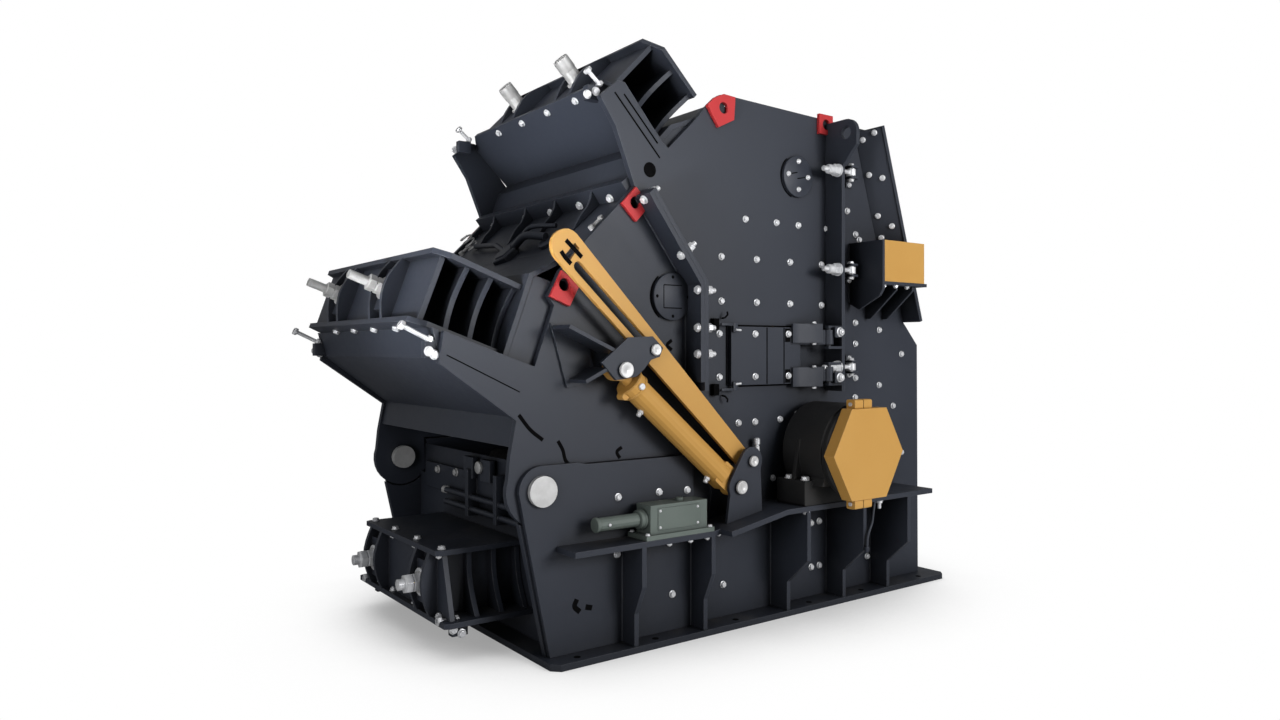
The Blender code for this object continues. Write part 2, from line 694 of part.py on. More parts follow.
def build_guard():
    """A yellow cover on its shelf bracket, on the near side by the inlet."""
    start, end = -(outer + touch), -(outer + guard_depth)
    low, high = end, start
    left, right = guard_left, guard_right
    guard_top = guard_foot + guard_height
    shelf_face = guard_foot + 0.015
    lean = (inlet_top[0] - inlet_foot[0]) / (inlet_top[1] - inlet_foot[1])
    shelf_end = inlet_foot[0] + lean * (shelf_face - inlet_foot[1]) - guard_inlet_gap
    solids = [block((left, low, guard_foot), (shelf_end, high, shelf_face))]
    side_plate = [(start, guard_top), (start, guard_foot - 0.08), (start - 0.06, guard_foot - 0.11),
                  (end + 0.02, guard_foot - 0.05), (end, guard_foot - 0.02), (end, guard_top)]
    solids.append(cross_prism(side_plate, left, left + 0.015))
    second_rib = shelf_end - guard_rib_back
    for x in ((left + second_rib) / 2, second_rib):
        rib = [(start, guard_foot + weld), (start, guard_foot - 0.15), (start - 0.03, guard_foot - 0.15),
               (end + 0.02, guard_foot - 0.02), (end + 0.02, guard_foot + weld)]
        solids.append(cross_prism(rib, x, x + 0.012))
    node("guard_bracket", dark_paint, machine, solids)
    low, high = end + touch, -(outer + seam_flange_reach + 0.005)
    node("guard_cover", yellow_paint, machine,
         [block((left + 0.015 + touch, low, guard_foot + 0.015 + touch), (right, high, guard_top))])


def build_pump():
    """The hand pump on the near shelf: foot, body and the lever tube."""
    y = -(outer + plate + pump_offset)
    top = shelf_low + touch
    part = pump_foot
    foot = block((part["left"], y - part["half"], top),
                 (part["right"], y + part["half"], top + part["height"]))
    part = pump_body
    low = top + pump_foot["height"] - weld
    body = block((part["left"], y - part["half"], low),
                 (part["right"], y + part["half"], top + part["height"]))
    middle = top + pump_lever["height"]
    lever = bar((pump_lever["end"], y + 0.005, middle), (part["left"] + weld, y + 0.005, middle),
                pump_lever["radius"], 14)
    node("hand_pump", green_paint, machine, [foot, body, lever])


def shelf_top(x):
    """Height of the bearing shelf at x, between its two kinks."""
    share = (x - shelf_kinks[0]) / (shelf_kinks[1] - shelf_kinks[0])
    return shelf_low + (shelf_high - shelf_low) * min(max(share, 0), 1)


def build_foot_brackets():
    """The bracket on each shelf that holds the cylinder's foot and the stay's foot."""
    for name, side in sides:
        lobe = foot_bracket_lobe
        heading = math.degrees(math.atan2(stay_foot[1] - cylinder_foot[1],
                                          stay_foot[0] - cylinder_foot[0]))
        outline = [(x, shelf_top(x) + touch) for x in foot_bracket_foot]
        outline += arc(stay_foot, lobe, heading - 90, heading + 90, 8)
        outline += arc(cylinder_foot, lobe, heading + 90, heading + 150, 4)
        solids = []
        far_plate = cylinder_offset + bracket_gap
        for low, high in ((touch, 0.012), (far_plate, far_plate + bracket_plate)):
            solids.append(prism(outline, side * (outer + low), side * (outer + high)))
        for center in (cylinder_foot, stay_foot):
            solids.append(cross_bar(center, foot_pin_radius, side * (outer + 0.006),
                                    side * (outer + far_plate + bracket_plate + 0.008), 16))
        node("foot_bracket_" + name, dark_paint, machine, solids)


def rear_cheek_outline():
    """The side view of the hinged housing's cheek, walked round from the seam's foot."""
    foot = (seam_foot[0], seam_foot[1] + running)
    outline = shifted([foot, seam_knee, seam_top], touch)
    outline += rear_edge_top + rear_edge_recess
    outline += [arm_top_back, arm_top_front, arm_low_front, *rear_edge_low]
    outline += arc(pivot, pivot_lobe_radius, 160, 330, 14)
    last = pivot_lobe_radius + running
    rise = seam_foot[1] + running - pivot[1]
    outline += [(pivot[0] + math.sqrt(last * last - rise * rise), seam_foot[1] + running)]
    return outline


def build_rear_cheeks():
    for name, side in sides:
        cheek = prism(rear_cheek_outline(), side * inner, side * outer)
        start, end = side * (inner - through), side * (outer + through)
        holes = [cross_bar(pivot, pivot_pin_radius + touch, start, end, 20)]
        holes.append(cross_bar(middle_apron_pivot, apron_bar_radius + touch, start, end, 16))
        for center in lug_holes_rear:
            holes.append(cross_bar(center, lug_hole_radius, start, end, 12))
        node("rear_cheek_" + name, dark_paint, housing, [cheek], holes)


def build_pivot_pins():
    for name, side in sides:
        inside = side * (inner - 0.03)
        outside = side * (outer + plate + touch)
        solids = [cross_bar(pivot, pivot_pin_radius, inside, outside + side * 0.001, 20)]
        solids.append(cross_bar(pivot, pivot_pin_radius + 0.004, outside,
                                outside + side * pivot_pin_head, 24))
        node("pivot_pin_" + name, pin_steel, housing, solids)


def build_rear_shell():
    """The plates between the cheeks: the slope below the seam, the box's seat, and the floor."""
    span = inner - touch
    low = middle_box["low"]
    seat_back = middle_box["length"] + touch
    seat_high = box_point(middle_seat, middle_tilt, seat_back, middle_box["high"] + 0.045)
    seat_low = box_point(middle_seat, middle_tilt, seat_back, low - 0.02)
    line = [along(seam_top, seam_knee, 0, -plate / 2), rear_slope_bend, seat_high, seat_low]
    end = along(seam_top, seam_knee, -cross_flange_reach)
    flange = prism(strip([along(seam_top, seam_knee, 0.03), end], plate + touch, -touch)[::-1],
                   -span, span)
    shapes = [prism(strip(line, plate), -span, span), flange]
    for side in (-1, 1):
        shapes.append(prism([seat_low, seat_high, *recess_wing], side * (span - plate),
                            side * (span - weld / 2)))
    node("rear_roof", dark_paint, housing, shapes)
    front = box_point(middle_seat, middle_tilt, 0.045, low + 0.03)
    under = [box_point(middle_seat, middle_tilt, back, up) for back, up in
             ((-0.1, low - touch), (0.2, low - touch), (0.2, 0), (-0.1, 0))]
    line = [front, (arm_low_front[0] + 0.012, arm_low_front[1] + 0.02), *rear_floor_line]
    node("rear_floor", dark_paint, housing, [prism(strip(line, plate), -span, span)],
         [prism(under, -outer, outer)])


def apron(name, pivot_at, offsets, parent, cover_radius=0):
    """A hanging impact apron: thick plate on a round bar, with a cover on each bar end."""
    half = rotor_length / 2
    line = [(pivot_at[0] + x, pivot_at[1] + z) for x, z in offsets]
    end = outer + 0.016 if cover_radius else outer - touch
    solids = [prism(strip(line, apron_thickness / 2, apron_thickness / 2), -half, half)]
    solids.append(cross_bar(pivot_at, apron_bar_radius, -end, end, 16))
    if cover_radius:
        for side in (-1, 1):
            solids.append(cross_bar(pivot_at, cover_radius, side * (outer + touch),
                                    side * (outer + 0.014), 20))
    node(name, wear_steel, parent, solids)


def build_aprons():
    apron("upper_apron", upper_apron_pivot, upper_apron_line, machine, apron_cover_radius)
    apron("middle_apron", middle_apron_pivot, middle_apron_line, housing, middle_cover_radius)
    apron("lower_apron", lower_apron_pivot, lower_apron_line, machine)


def build_rod_brackets():
    """The bracket on each hinged cheek that holds the rod pin and the stay's pin."""
    outer_face = cylinder_offset + bracket_gap + bracket_plate
    for name, side in sides:
        inside_face = outer_face - bracket_plate
        solids = [prism(chevron, side * (outer + inside_face), side * (outer + outer_face))]
        for line in chevron_webs:
            solids.append(prism(strip(line, 0.007, 0.007), side * (outer + touch),
                                side * (outer + outer_face - 0.004)))
        solids.append(prism(chevron_foot, side * (outer + touch), side * (outer + 0.010)))
        solids.append(cross_bar(rod_pin, rod_pin_radius, side * (outer + touch),
                                side * (outer + outer_face + 0.006), 16))
        solids.append(cross_bar(stay_pin, stay_pin_radius, side * (outer + touch),
                                side * (outer + outer_face + 0.004), 12))
        node("rod_bracket_" + name, dark_paint, housing, solids)


def build_cylinders():
    reach = math.dist(cylinder_foot, rod_pin)
    for name, side in sides:
        y = side * (outer + cylinder_offset)
        lift = make_empty("cylinder_foot_" + name, (cylinder_foot[0], y, cylinder_foot[1]), machine)
        gland = reach - barrel_end_gap
        neck = along(cylinder_foot, rod_pin, foot_pin_radius + 0.012)
        start = along(cylinder_foot, rod_pin, 0.075)
        end = along(cylinder_foot, rod_pin, gland)
        shank = bar((neck[0], y, neck[1]), (end[0], y, end[1]), 0.032, 16)
        barrel = bar((start[0], y, start[1]), (end[0], y, end[1]), barrel_radius, 18)
        eye = cross_bar(cylinder_foot, foot_pin_radius + 0.020, y - 0.026, y + 0.026, 18)
        collar_start = along(cylinder_foot, rod_pin, gland - 0.035)
        past = along(cylinder_foot, rod_pin, gland + 0.004)
        collar = bar((collar_start[0], y, collar_start[1]), (past[0], y, past[1]),
                     barrel_radius + 0.007, 18)
        bore_end = along(cylinder_foot, rod_pin, gland + 0.05)
        across = -rod_eye_across
        bore_start = along(cylinder_foot, rod_pin, 0.12)
        bore = bar((bore_start[0], y, bore_start[1]), (bore_end[0], y, bore_end[1]),
                   rod_radius + 0.001, 16)
        hole = cross_bar(cylinder_foot, foot_pin_radius + 0.0005, y - 0.1, y + 0.1, 20)
        node("cylinder_barrel_" + name, yellow_paint, lift, [barrel, shank, eye, collar], [bore, hole])
        eye_center = along(cylinder_foot, rod_pin, reach + rod_eye_along, across)
        rod_start = along(cylinder_foot, rod_pin, 0.135)
        rod_end = along(cylinder_foot, rod_pin, reach - rod_eye_radius + 0.008)
        rod = bar((rod_start[0], y, rod_start[1]), (rod_end[0], y, rod_end[1]), rod_radius, 16)
        ring = cross_bar(eye_center, rod_eye_radius, y - 0.026, y + 0.026, 24)
        gap = cross_bar(eye_center, rod_pin_radius + rod_eye_clearance, y - 0.1, y + 0.1, 20)
        slide = make_empty("rod_slide_" + name, (rod_start[0], y, rod_start[1]), lift)
        slide.location = slide.location - lift.location
        rod_piece = node("piston_rod_" + name, yellow_paint, slide, [rod, ring], [gap])
        rod_piece.location = -Vector((rod_start[0], y, rod_start[1]))


def build_stays():
    """A long flat stay each side, whose slot runs along the stay's pin as the housing opens."""
    reach = math.dist(stay_foot, stay_pin)
    for name, side in sides:
        y = side * (outer + cylinder_offset)
        swing = make_empty("stay_foot_" + name, (stay_foot[0], y, stay_foot[1]), machine)
        end = along(stay_foot, stay_pin, reach + stay_end, -stay_end_across)
        heading = math.degrees(math.atan2(stay_pin[1] - stay_foot[1], stay_pin[0] - stay_foot[0]))
        outline = arc(stay_foot, stay_foot_radius, heading + 90, heading + 270, 8)
        outline += arc(end, stay_end_radius, heading - 90, heading + 90, 10)
        half = stay_thickness / 2
        bar_piece = prism(outline, y - half, y + half)
        across = -stay_slot_across
        slot_start = along(stay_foot, stay_pin, reach - 0.001, across)
        slot_end = along(stay_foot, stay_pin, reach + 0.438, across)
        slot = arc(slot_start, stay_slot_half, heading + 90, heading + 270, 6)
        slot += arc(slot_end, stay_slot_half, heading - 90, heading + 90, 6)
        cuts = [prism(slot, y - 0.05, y + 0.05)]
        cuts.append(cross_bar(stay_foot, foot_pin_radius + 0.0005, y - 0.1, y + 0.1, 20))
        notch_from = along(stay_foot, stay_pin, reach + 0.478, -stay_end_across)
        notch_to = along(stay_foot, stay_pin, reach + 0.506, -stay_end_across)
        cuts.append(prism(strip([notch_from, notch_to], 0.034, 0.034), y - 0.05, y + 0.05))
        node("stay_" + name, yellow_paint, swing, [bar_piece], cuts)


clear_scene()
dark_paint = make_finish("dark_paint", (0.055, 0.062, 0.080), 0.45, 0.0)
black_paint = make_finish("black_paint", (0.010, 0.010, 0.012), 0.40, 0.0)
yellow_paint = make_finish("yellow_paint", (0.72, 0.40, 0.07), 0.42, 0.0)
green_paint = make_finish("green_paint", (0.19, 0.24, 0.21), 0.50, 0.0)
pin_steel = make_finish("pin_steel", (0.60, 0.60, 0.60), 0.35, 1.0)
grey_steel = make_finish("grey_steel", (0.42, 0.42, 0.42), 0.45, 1.0)
wear_steel = make_finish("wear_steel", (0.10, 0.10, 0.11), 0.55, 1.0)

machine = make_empty("machine", (-reference_x, 0, 0))
housing = make_empty("rear_housing", (pivot[0], 0, pivot[1]), machine)

# The arms that carry the middle adjuster box follow its lower plate
arm_top_back = box_point(middle_seat, middle_tilt, 0.34, middle_box["low"] - touch)
arm_top_front = box_point(middle_seat, middle_tilt, 0.10, middle_box["low"] - touch)

build_base()
build_side_walls()
build_lower_cheeks()
build_shelves()
build_bearings()
build_rotor()
build_front()
build_roof()
build_rear_wall()
build_seam_flanges()
build_clamp_flanges()
build_guard()
build_pump()
build_foot_brackets()
adjuster_box("upper_adjuster_box", upper_seat, upper_tilt, upper_box, machine)
adjuster_box("middle_adjuster_box", middle_seat, middle_tilt, middle_box, housing)
adjuster_box("lower_adjuster_box", lower_seat, lower_tilt, lower_box, machine)
for side_name, hand in sides:
    spindle("upper_spindle_" + side_name, upper_seat, upper_tilt, hand, upper_box["length"], 0.12,
            False, machine)
    spindle("middle_spindle_" + side_name, middle_seat, middle_tilt, hand, middle_box["length"], 0.149,
            True, housing)
    spindle("lower_spindle_" + side_name, lower_seat, lower_tilt, hand, lower_box["length"], 0.10,
            True, machine)
build_rear_cheeks()
build_pivot_pins()
build_rear_shell()
build_aprons()
build_rod_brackets()
build_cylinders()
build_stays()
build_doors()
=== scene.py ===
import json
import math

import bmesh
import bpy
import numpy as np
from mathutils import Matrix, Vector


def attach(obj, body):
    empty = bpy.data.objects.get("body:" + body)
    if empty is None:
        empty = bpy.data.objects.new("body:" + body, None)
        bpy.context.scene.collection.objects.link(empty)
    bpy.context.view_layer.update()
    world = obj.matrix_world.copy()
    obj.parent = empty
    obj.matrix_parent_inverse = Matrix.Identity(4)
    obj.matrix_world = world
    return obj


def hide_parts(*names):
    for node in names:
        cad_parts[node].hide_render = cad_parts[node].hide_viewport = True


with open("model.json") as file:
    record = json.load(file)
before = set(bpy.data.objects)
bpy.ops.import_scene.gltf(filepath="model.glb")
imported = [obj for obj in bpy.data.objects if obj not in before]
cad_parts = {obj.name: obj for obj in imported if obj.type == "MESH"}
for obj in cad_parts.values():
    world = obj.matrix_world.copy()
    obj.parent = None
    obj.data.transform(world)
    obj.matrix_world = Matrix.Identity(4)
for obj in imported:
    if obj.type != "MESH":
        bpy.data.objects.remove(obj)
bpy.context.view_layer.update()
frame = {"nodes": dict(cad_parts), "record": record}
ahead = 0.28  # from the middle of the base to the model's origin, along X
wallFace = 0.67  # outer face of the side walls, from the middle
lift = 0.0004  # what lies on a face stands off it by this

view = {
    "place": (-2.504, -3.535, 1.15),
    "turn": -36.2,  # degrees from looking along +Y
    "lens": 25.34,
    "shiftY": -0.0078,
}


def linked(name, data):
    obj = bpy.data.objects.new(name, data)
    bpy.context.scene.collection.objects.link(obj)
    return obj


def addCamera():
    data = bpy.data.cameras.new("camera")
    data.lens = view["lens"]
    data.sensor_width = 36
    data.shift_y = view["shiftY"]
    data.clip_end = 60
    camera = linked("camera", data)
    camera.location = view["place"]
    camera.rotation_euler = (math.radians(90), 0, math.radians(view["turn"]))
    bpy.context.scene.camera = camera


lamps = {
    "key": {"place": (1.9, -6.6, 2.5), "size": 2.4, "power": 250},
    "left": {"place": (-6.2, -3.0, 1.5), "size": 2.6, "power": 100},
    "under": {"place": (-3.6, -1.6, 0.5), "aim": (-0.5, -0.1, 2.15), "size": 0.8, "power": 9, "spread": 34},
    "top": {"place": (0.6, -0.6, 5.6), "size": 3.4, "power": 22},
}


def addLamps():
    for name, lamp in lamps.items():
        data = bpy.data.lights.new(name, "AREA")
        data.size = lamp["size"]
        data.energy = lamp["power"]
        data.spread = math.radians(lamp.get("spread", 180))
        obj = linked(name, data)
        obj.location = lamp["place"]
        aim = Vector(lamp.get("aim", (0, 0, 1.0))) - Vector(lamp["place"])
        obj.rotation_euler = aim.to_track_quat("-Z", "Y").to_euler()


addCamera()
addLamps()
print("camera and lamps are in place")


class Sock:
    # one output socket: sums written on it add their Math nodes
    def __init__(self, graph, link):
        self.graph = graph
        self.link = link

    def sum(self, way, a, b):
        return self.graph.add("ShaderNodeMath", {"operation": way}, {0: a, 1: b})

    def __add__(self, other):
        return self.sum("ADD", self, other)

    def __radd__(self, other):
        return self.sum("ADD", other, self)

    def __rsub__(self, other):
        return self.sum("SUBTRACT", other, self)

    def __mul__(self, other):
        return self.sum("MULTIPLY", self, other)


class Graph:
    # a node tree with one way to add a node
    def __init__(self, tree):
        self.tree = tree

    def add(self, kind, settings=None, values=None, out=0):
        # settings come first, because they decide which sockets the node shows
        node = self.tree.nodes.new(kind)
        for key, value in (settings or {}).items():
            if key == "stops":
                ramp = node.color_ramp
                while len(ramp.elements) < len(value):
                    ramp.elements.new(0.5)
                for stop, (at, shade) in zip(ramp.elements, value):
                    stop.position = at
                    stop.color = (*shade, 1) if len(shade) == 3 else shade
            else:
                setattr(node, key, value)
        self.fill(node, values or {})
        return Sock(self, node.outputs[out])

    def feed(self, socket, value):
        if isinstance(value, Sock):
            self.tree.links.new(value.link, socket)
        elif isinstance(value, tuple) and len(value) == 3 and socket.type == "RGBA":
            socket.default_value = (*value, 1)
        else:
            socket.default_value = value

    def fill(self, shader, values):
        for key, value in values.items():
            self.feed(shader.inputs[key], value)

    def noise(self, place, scale, detail=3, rough=0.5):
        values = {"Vector": place, "Scale": scale, "Detail": detail, "Roughness": rough}
        return self.add("ShaderNodeTexNoise", None, values)

    def span(self, value, low, high, first=0.0, last=1.0):
        # value from low..high to first..last, smooth at both ends
        settings = {"interpolation_type": "SMOOTHSTEP"}
        values = {0: value, 1: low, 2: high, 3: first, 4: last}
        return self.add("ShaderNodeMapRange", settings, values)

    def mix(self, share, one, two):
        settings = {"data_type": "RGBA"}
        values = {0: share, 6: one, 7: two}
        return self.add("ShaderNodeMix", settings, values, 2)


def newFinish(name):
    material = bpy.data.materials.new(name)
    material.use_nodes = True
    graph = Graph(material.node_tree)
    shader = material.node_tree.nodes["Principled BSDF"]
    place = graph.add("ShaderNodeTexCoord", None, None, "Object")
    return material, graph, shader, place


def upwards(graph):
    # height part of the surface's own direction
    normal = graph.add("ShaderNodeNewGeometry", None, None, "Normal")
    return graph.add("ShaderNodeSeparateXYZ", None, {0: normal}, 2)


def edgeShare(graph, radius):
    # 0 on flat steel, up to 1 along an outer edge: how far the rounded direction leaves the flat one
    rounded = graph.add("ShaderNodeBevel", {"samples": 4}, {"Radius": radius})
    flat = graph.add("ShaderNodeNewGeometry", None, None, "True Normal")
    along = graph.add("ShaderNodeVectorMath", {"operation": "DOT_PRODUCT"}, {0: rounded, 1: flat}, "Value")
    return rounded, graph.span(1 - along, 0.004, 0.12)


# deep is how dark the painted shade in corners and recesses gets, as a share of shade
paints = {
    "dark_paint": {"tone": (0.036, 0.042, 0.058), "shade": (0.029, 0.034, 0.048),
                   "wornAndHighlight": (0.12, 0.128, 0.15), "rough": 0.4, "deep": 0.22},
    "black_paint": {"tone": (0.026, 0.026, 0.026), "shade": (0.016, 0.016, 0.017),
                    "wornAndHighlight": (0.06, 0.06, 0.062), "rough": 0.46, "deep": 0.45},
    "yellow_paint": {"tone": (0.69, 0.385, 0.1), "shade": (0.63, 0.335, 0.078),
                     "wornAndHighlight": (0.8, 0.52, 0.22), "rough": 0.4, "deep": 0.7},
    "green_paint": {"tone": (0.17, 0.205, 0.185), "shade": (0.13, 0.16, 0.145),
                    "wornAndHighlight": (0.27, 0.3, 0.28), "rough": 0.46, "deep": 0.45},
    "red_paint": {"tone": (0.64, 0.038, 0.042), "shade": (0.52, 0.028, 0.032),
                  "wornAndHighlight": (0.76, 0.13, 0.12), "rough": 0.45, "deep": 0.45},
}


def makePaint(name, look):
    material, graph, shader, place = newFinish(name)
    broad = graph.span(graph.noise(place, 1.7, 4, 0.55), 0.32, 0.68)
    fine = graph.noise(place, 38, 3, 0.6)
    tone = graph.mix(broad * 0.55 + fine * 0.25, look["shade"], look["tone"])
    rounded, edge = edgeShare(graph, 0.0035)
    scuffs = graph.span(graph.noise(place, 14, 4, 0.6), 0.42, 0.62)
    # lighter along outer edges, towards the edge colour: scuffed wear and a painted highlight
    tone = graph.mix(edge * (0.25 + scuffs * 0.45), tone, look["wornAndHighlight"])
    # painted shade: the AO node darkens the colour in corners, recesses, under parts and between them
    clear = graph.add("ShaderNodeAmbientOcclusion", {"samples": 6}, {"Distance": 0.28}, "AO")
    paintedShade = tuple(part * look["deep"] for part in look["shade"])
    tone = graph.mix(graph.span(clear, 0.2, 0.92), paintedShade, tone)
    dust = graph.span(upwards(graph), 0.75, 1.0) * graph.span(graph.noise(place, 5, 5, 0.62), 0.45, 0.75)
    tone = graph.mix(dust * 0.1, tone, (0.3, 0.28, 0.25))
    rough = look["rough"] + broad * 0.06 + fine * 0.1 + dust * 0.18
    peel = graph.noise(place, 420, 2, 0.5) * 0.35 + graph.noise(place, 9, 2, 0.5) * 2.2
    relief = {"Strength": 0.16, "Distance": 0.0012, "Height": peel, "Normal": rounded}
    bump = graph.add("ShaderNodeBump", None, relief)
    graph.fill(shader, {"Base Color": tone, "Roughness": rough, "Specular IOR Level": 0.32, "Normal": bump})
    return material


def makeGap():
    # the dark of a slot or a gap between plates, also used as painted shadow where a recess or hole shows its
    # shaded side
    material, graph, shader, place = newFinish("gap_and_shadow_dark")
    tone = graph.mix(graph.noise(place, 30), (0.002, 0.002, 0.0022), (0.0045, 0.0045, 0.005))
    graph.fill(shader, {"Base Color": tone, "Roughness": 0.95, "Specular IOR Level": 0.05})
    return material


def greys(light, dark):
    return {"tone": (light, light, light), "shade": (dark, dark, dark)}


steels = {
    "pin_steel": {**greys(0.66, 0.56), "rough": 0.34, "metal": 0.4, "line": 900},
    "grey_steel": {**greys(0.56, 0.44), "rough": 0.4, "metal": 0.45, "line": 520},
    "bolt_zinc": {"tone": (0.86, 0.87, 0.89), "shade": (0.7, 0.71, 0.74),
                  "rough": 0.3, "metal": 0.35, "line": 0},
    "pin_white": {**greys(0.74, 0.64), "rough": 0.34, "metal": 0.3, "line": 0},
    "wear_steel": {"tone": (0.105, 0.102, 0.1), "shade": (0.055, 0.052, 0.05),
                   "rough": 0.55, "metal": 0.55, "line": 0},
}


def makeSteel(name, look):
    material, graph, shader, place = newFinish(name)
    cloud = graph.span(graph.noise(place, 22, 4, 0.6), 0.3, 0.7)
    rounded, edge = edgeShare(graph, 0.0018)
    tone = graph.mix(cloud, look["shade"], look["tone"])
    # lighter along edges: worn bright steel and a painted highlight
    tone = graph.mix(edge * 0.5, tone, tuple(min(1, part * 1.25) for part in look["tone"]))
    height = graph.noise(place, 160, 3, 0.55) * 0.4
    rough = look["rough"] + cloud * 0.1
    if look["line"]:
        # turning marks: fine bands along the grain, drawn out across it
        drawn = graph.add("ShaderNodeMapping", None, {"Vector": place, "Scale": (1.0, 0.05, 1.0)})
        marks = graph.noise(drawn, look["line"], 2, 0.5)
        height = height + marks * 0.5
        rough = rough + marks * 0.12
    relief = {"Strength": 0.14, "Distance": 0.0008, "Height": height, "Normal": rounded}
    bump = graph.add("ShaderNodeBump", None, relief)
    graph.fill(shader, {"Base Color": tone, "Metallic": look["metal"], "Roughness": rough, "Normal": bump})
    return material


finishes = {name: makePaint(name, look) for name, look in paints.items()}
finishes.update({name: makeSteel(name, look) for name, look in steels.items()})
finishes["gap_and_shadow_dark"] = makeGap()
slotOf = {entry["node"]: entry["material_slot"] for entry in frame["record"]["subparts"]}
for nodeName, obj in frame["nodes"].items():
    for spot in obj.material_slots:
        spot.material = finishes[slotOf[nodeName]]
print("finishes are on the CAD pieces")


def addFloor():
    # a wide square just under the machine, white to the camera, with the machine's soft shadow on it
    size = 30.0
    corners = [(-size, -size, 0), (size, -size, 0), (size, size, 0), (-size, size, 0)]
    mesh = bpy.data.meshes.new("floor")
    mesh.from_pydata(corners, [], [(0, 1, 2, 3)])
    floor = linked("floor", mesh)
    material, graph, shader, place = newFinish("floor_white")
    tone = graph.mix(graph.noise(place, 0.8), (0.86, 0.86, 0.86), (0.88, 0.88, 0.88))
    graph.fill(shader, {"Base Color": tone, "Roughness": 0.9, "Specular IOR Level": 0.1})
    seen = graph.add("ShaderNodeLightPath", None, None, "Is Camera Ray")
    glow = graph.add("ShaderNodeEmission", None, {"Color": (1, 1, 1), "Strength": 1.0})
    clear = graph.add("ShaderNodeAmbientOcclusion", {"samples": 8}, {"Distance": 0.75}, "AO")
    share = graph.span(clear, 0.22, 0.94, 0.3, 1.0)  # white where nothing stands over it
    both = graph.add("ShaderNodeMixShader", None, {0: seen * share, 1: Sock(graph, shader.outputs[0]),
        2: glow})
    graph.feed(material.node_tree.nodes["Material Output"].inputs[0], both)
    mesh.materials.append(material)


def addWorld():
    world = bpy.data.worlds.new("studio")
    bpy.context.scene.world = world
    world.use_nodes = True
    tree = world.node_tree
    tree.nodes.clear()
    graph = Graph(tree)
    path = graph.add("ShaderNodeLightPath", None, None, "Is Camera Ray")
    gloss = Sock(graph, path.link.node.outputs["Is Glossy Ray"])
    soft = graph.add("ShaderNodeBackground", None, {"Color": (0.95, 0.97, 1.0), "Strength": 0.05})
    shiny = graph.add("ShaderNodeBackground", None, {"Color": (1, 1, 1), "Strength": 0.3})
    white = graph.add("ShaderNodeBackground", None, {"Color": (1, 1, 1), "Strength": 1.0})
    lit = graph.add("ShaderNodeMixShader", None, {0: gloss, 1: soft, 2: shiny})
    both = graph.add("ShaderNodeMixShader", None, {0: path, 1: lit, 2: white})
    out = tree.nodes.new("ShaderNodeOutputWorld")
    graph.feed(out.inputs[0], both)


addFloor()
addWorld()
bpy.context.scene.view_settings.view_transform = "Standard"
print("floor and backdrop are in place")

slotFor = {"bolt_zinc": "pin_steel", "gap_and_shadow_dark": "black_paint", "pin_white": "pin_steel"}


class Heap:
    # gathers arrays of points and faces, then makes one piece of them; x counts from the middle of the base
    def __init__(self):
        self.points = []
        self.faces = []
        self.count = 0

    def skin(self, rings, closed=False):
        # things x rings x points round: quads between one ring and the next, and a face on each end
        n, k, around = rings.shape[:3]
        here = np.arange(around)
        there = (here + 1) % around
        row = np.arange(k if closed else k - 1)[:, None] * around
        after = (row + around) % (k * around)
        quads = np.stack([row + here, row + there, after + there, after + here], -1).reshape(-1, 4)
        start = self.count + np.arange(n)[:, None] * (k * around)
        self.faces += (quads + start[..., None]).reshape(-1, 4).tolist()
        if not closed:
            self.faces += (here[::-1] + start).tolist() + (here + (k - 1) * around + start).tolist()
        self.points.append(rings.reshape(-1, 3))
        self.count += n * k * around

    def mirror(self):
        # what has been gathered, on the far side too
        self.faces += [[corner + self.count for corner in face] for face in self.faces]
        self.points += [part * [1, -1, 1] for part in self.points]
        self.count *= 2

    def piece(self, name, finish, body, slotName=None, nodes=(), sharp=40):
        mesh = bpy.data.meshes.new(name)
        points = np.concatenate(self.points) + [ahead, 0, 0]
        mesh.from_pydata(points.tolist(), [], self.faces)
        edit = bmesh.new()
        edit.from_mesh(mesh)
        bmesh.ops.recalc_face_normals(edit, faces=edit.faces)
        edit.to_mesh(mesh)
        edit.free()
        mesh.shade_smooth()
        mesh.set_sharp_from_angle(angle=math.radians(sharp))
        mesh.materials.append(finishes[finish])
        obj = linked(name, mesh)
        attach(obj, body)
        slotName or slotFor.get(finish, finish)
        if nodes:
            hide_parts(*nodes)


def unit(v):
    v = np.asarray(v, float)
    return v / np.linalg.norm(v, axis=-1, keepdims=True)


def square(out):
    # two directions square to each of the given ones
    out = unit(out)
    guide = np.where(np.abs(out[:, 2:3]) > 0.9, [[1.0, 0.0, 0.0]], [[0.0, 0.0, 1.0]])
    first = unit(np.cross(guide, out))
    return first, np.cross(out, first)


def turned(heap, places, outs, profile, around=16, spin=0.0):
    # a profile of (distance, radius) pairs carried round a line, at every place at once:
    # point = place + out * distance + radius * (first * cos + second * sin)
    places = np.atleast_2d(places)[:, None, None]
    outs = np.broadcast_to(outs, (len(places), 3))
    away, radius = np.asarray(profile).T[:, None, :, None, None]
    first, second = (part[:, None] for part in square(outs))
    angle = np.arange(around) * 2 * math.pi / around + np.broadcast_to(spin, (len(places),))[:, None]
    ring = np.cos(angle)[..., None] * first + np.sin(angle)[..., None] * second
    heap.skin(places + away * unit(outs)[:, None, None] + radius * ring[:, None])


def knob(radius, straight, deep, last):
    # a profile for turned: straight up to one depth, then in to its last radius
    return [(0, radius), (straight, radius), (deep, last)]


def laid(flats, ends, lay):
    # outlines set at their heights; lay says which way: side = (x, z) along y, floor = (x, y) along z,
    # cross = (y, z) along x
    order = {"side": (0, 2, 1), "floor": (0, 1, 2), "cross": (2, 0, 1)}[lay]
    rings = [np.column_stack([flat, np.full(len(flat), end)])[:, order] for flat, end in zip(flats, ends)]
    return np.array(rings)[None]


def plate(heap, outline, low, high, lay="side"):
    outline = np.asarray(outline, float)
    heap.skin(laid([outline, outline], [low, high], lay))


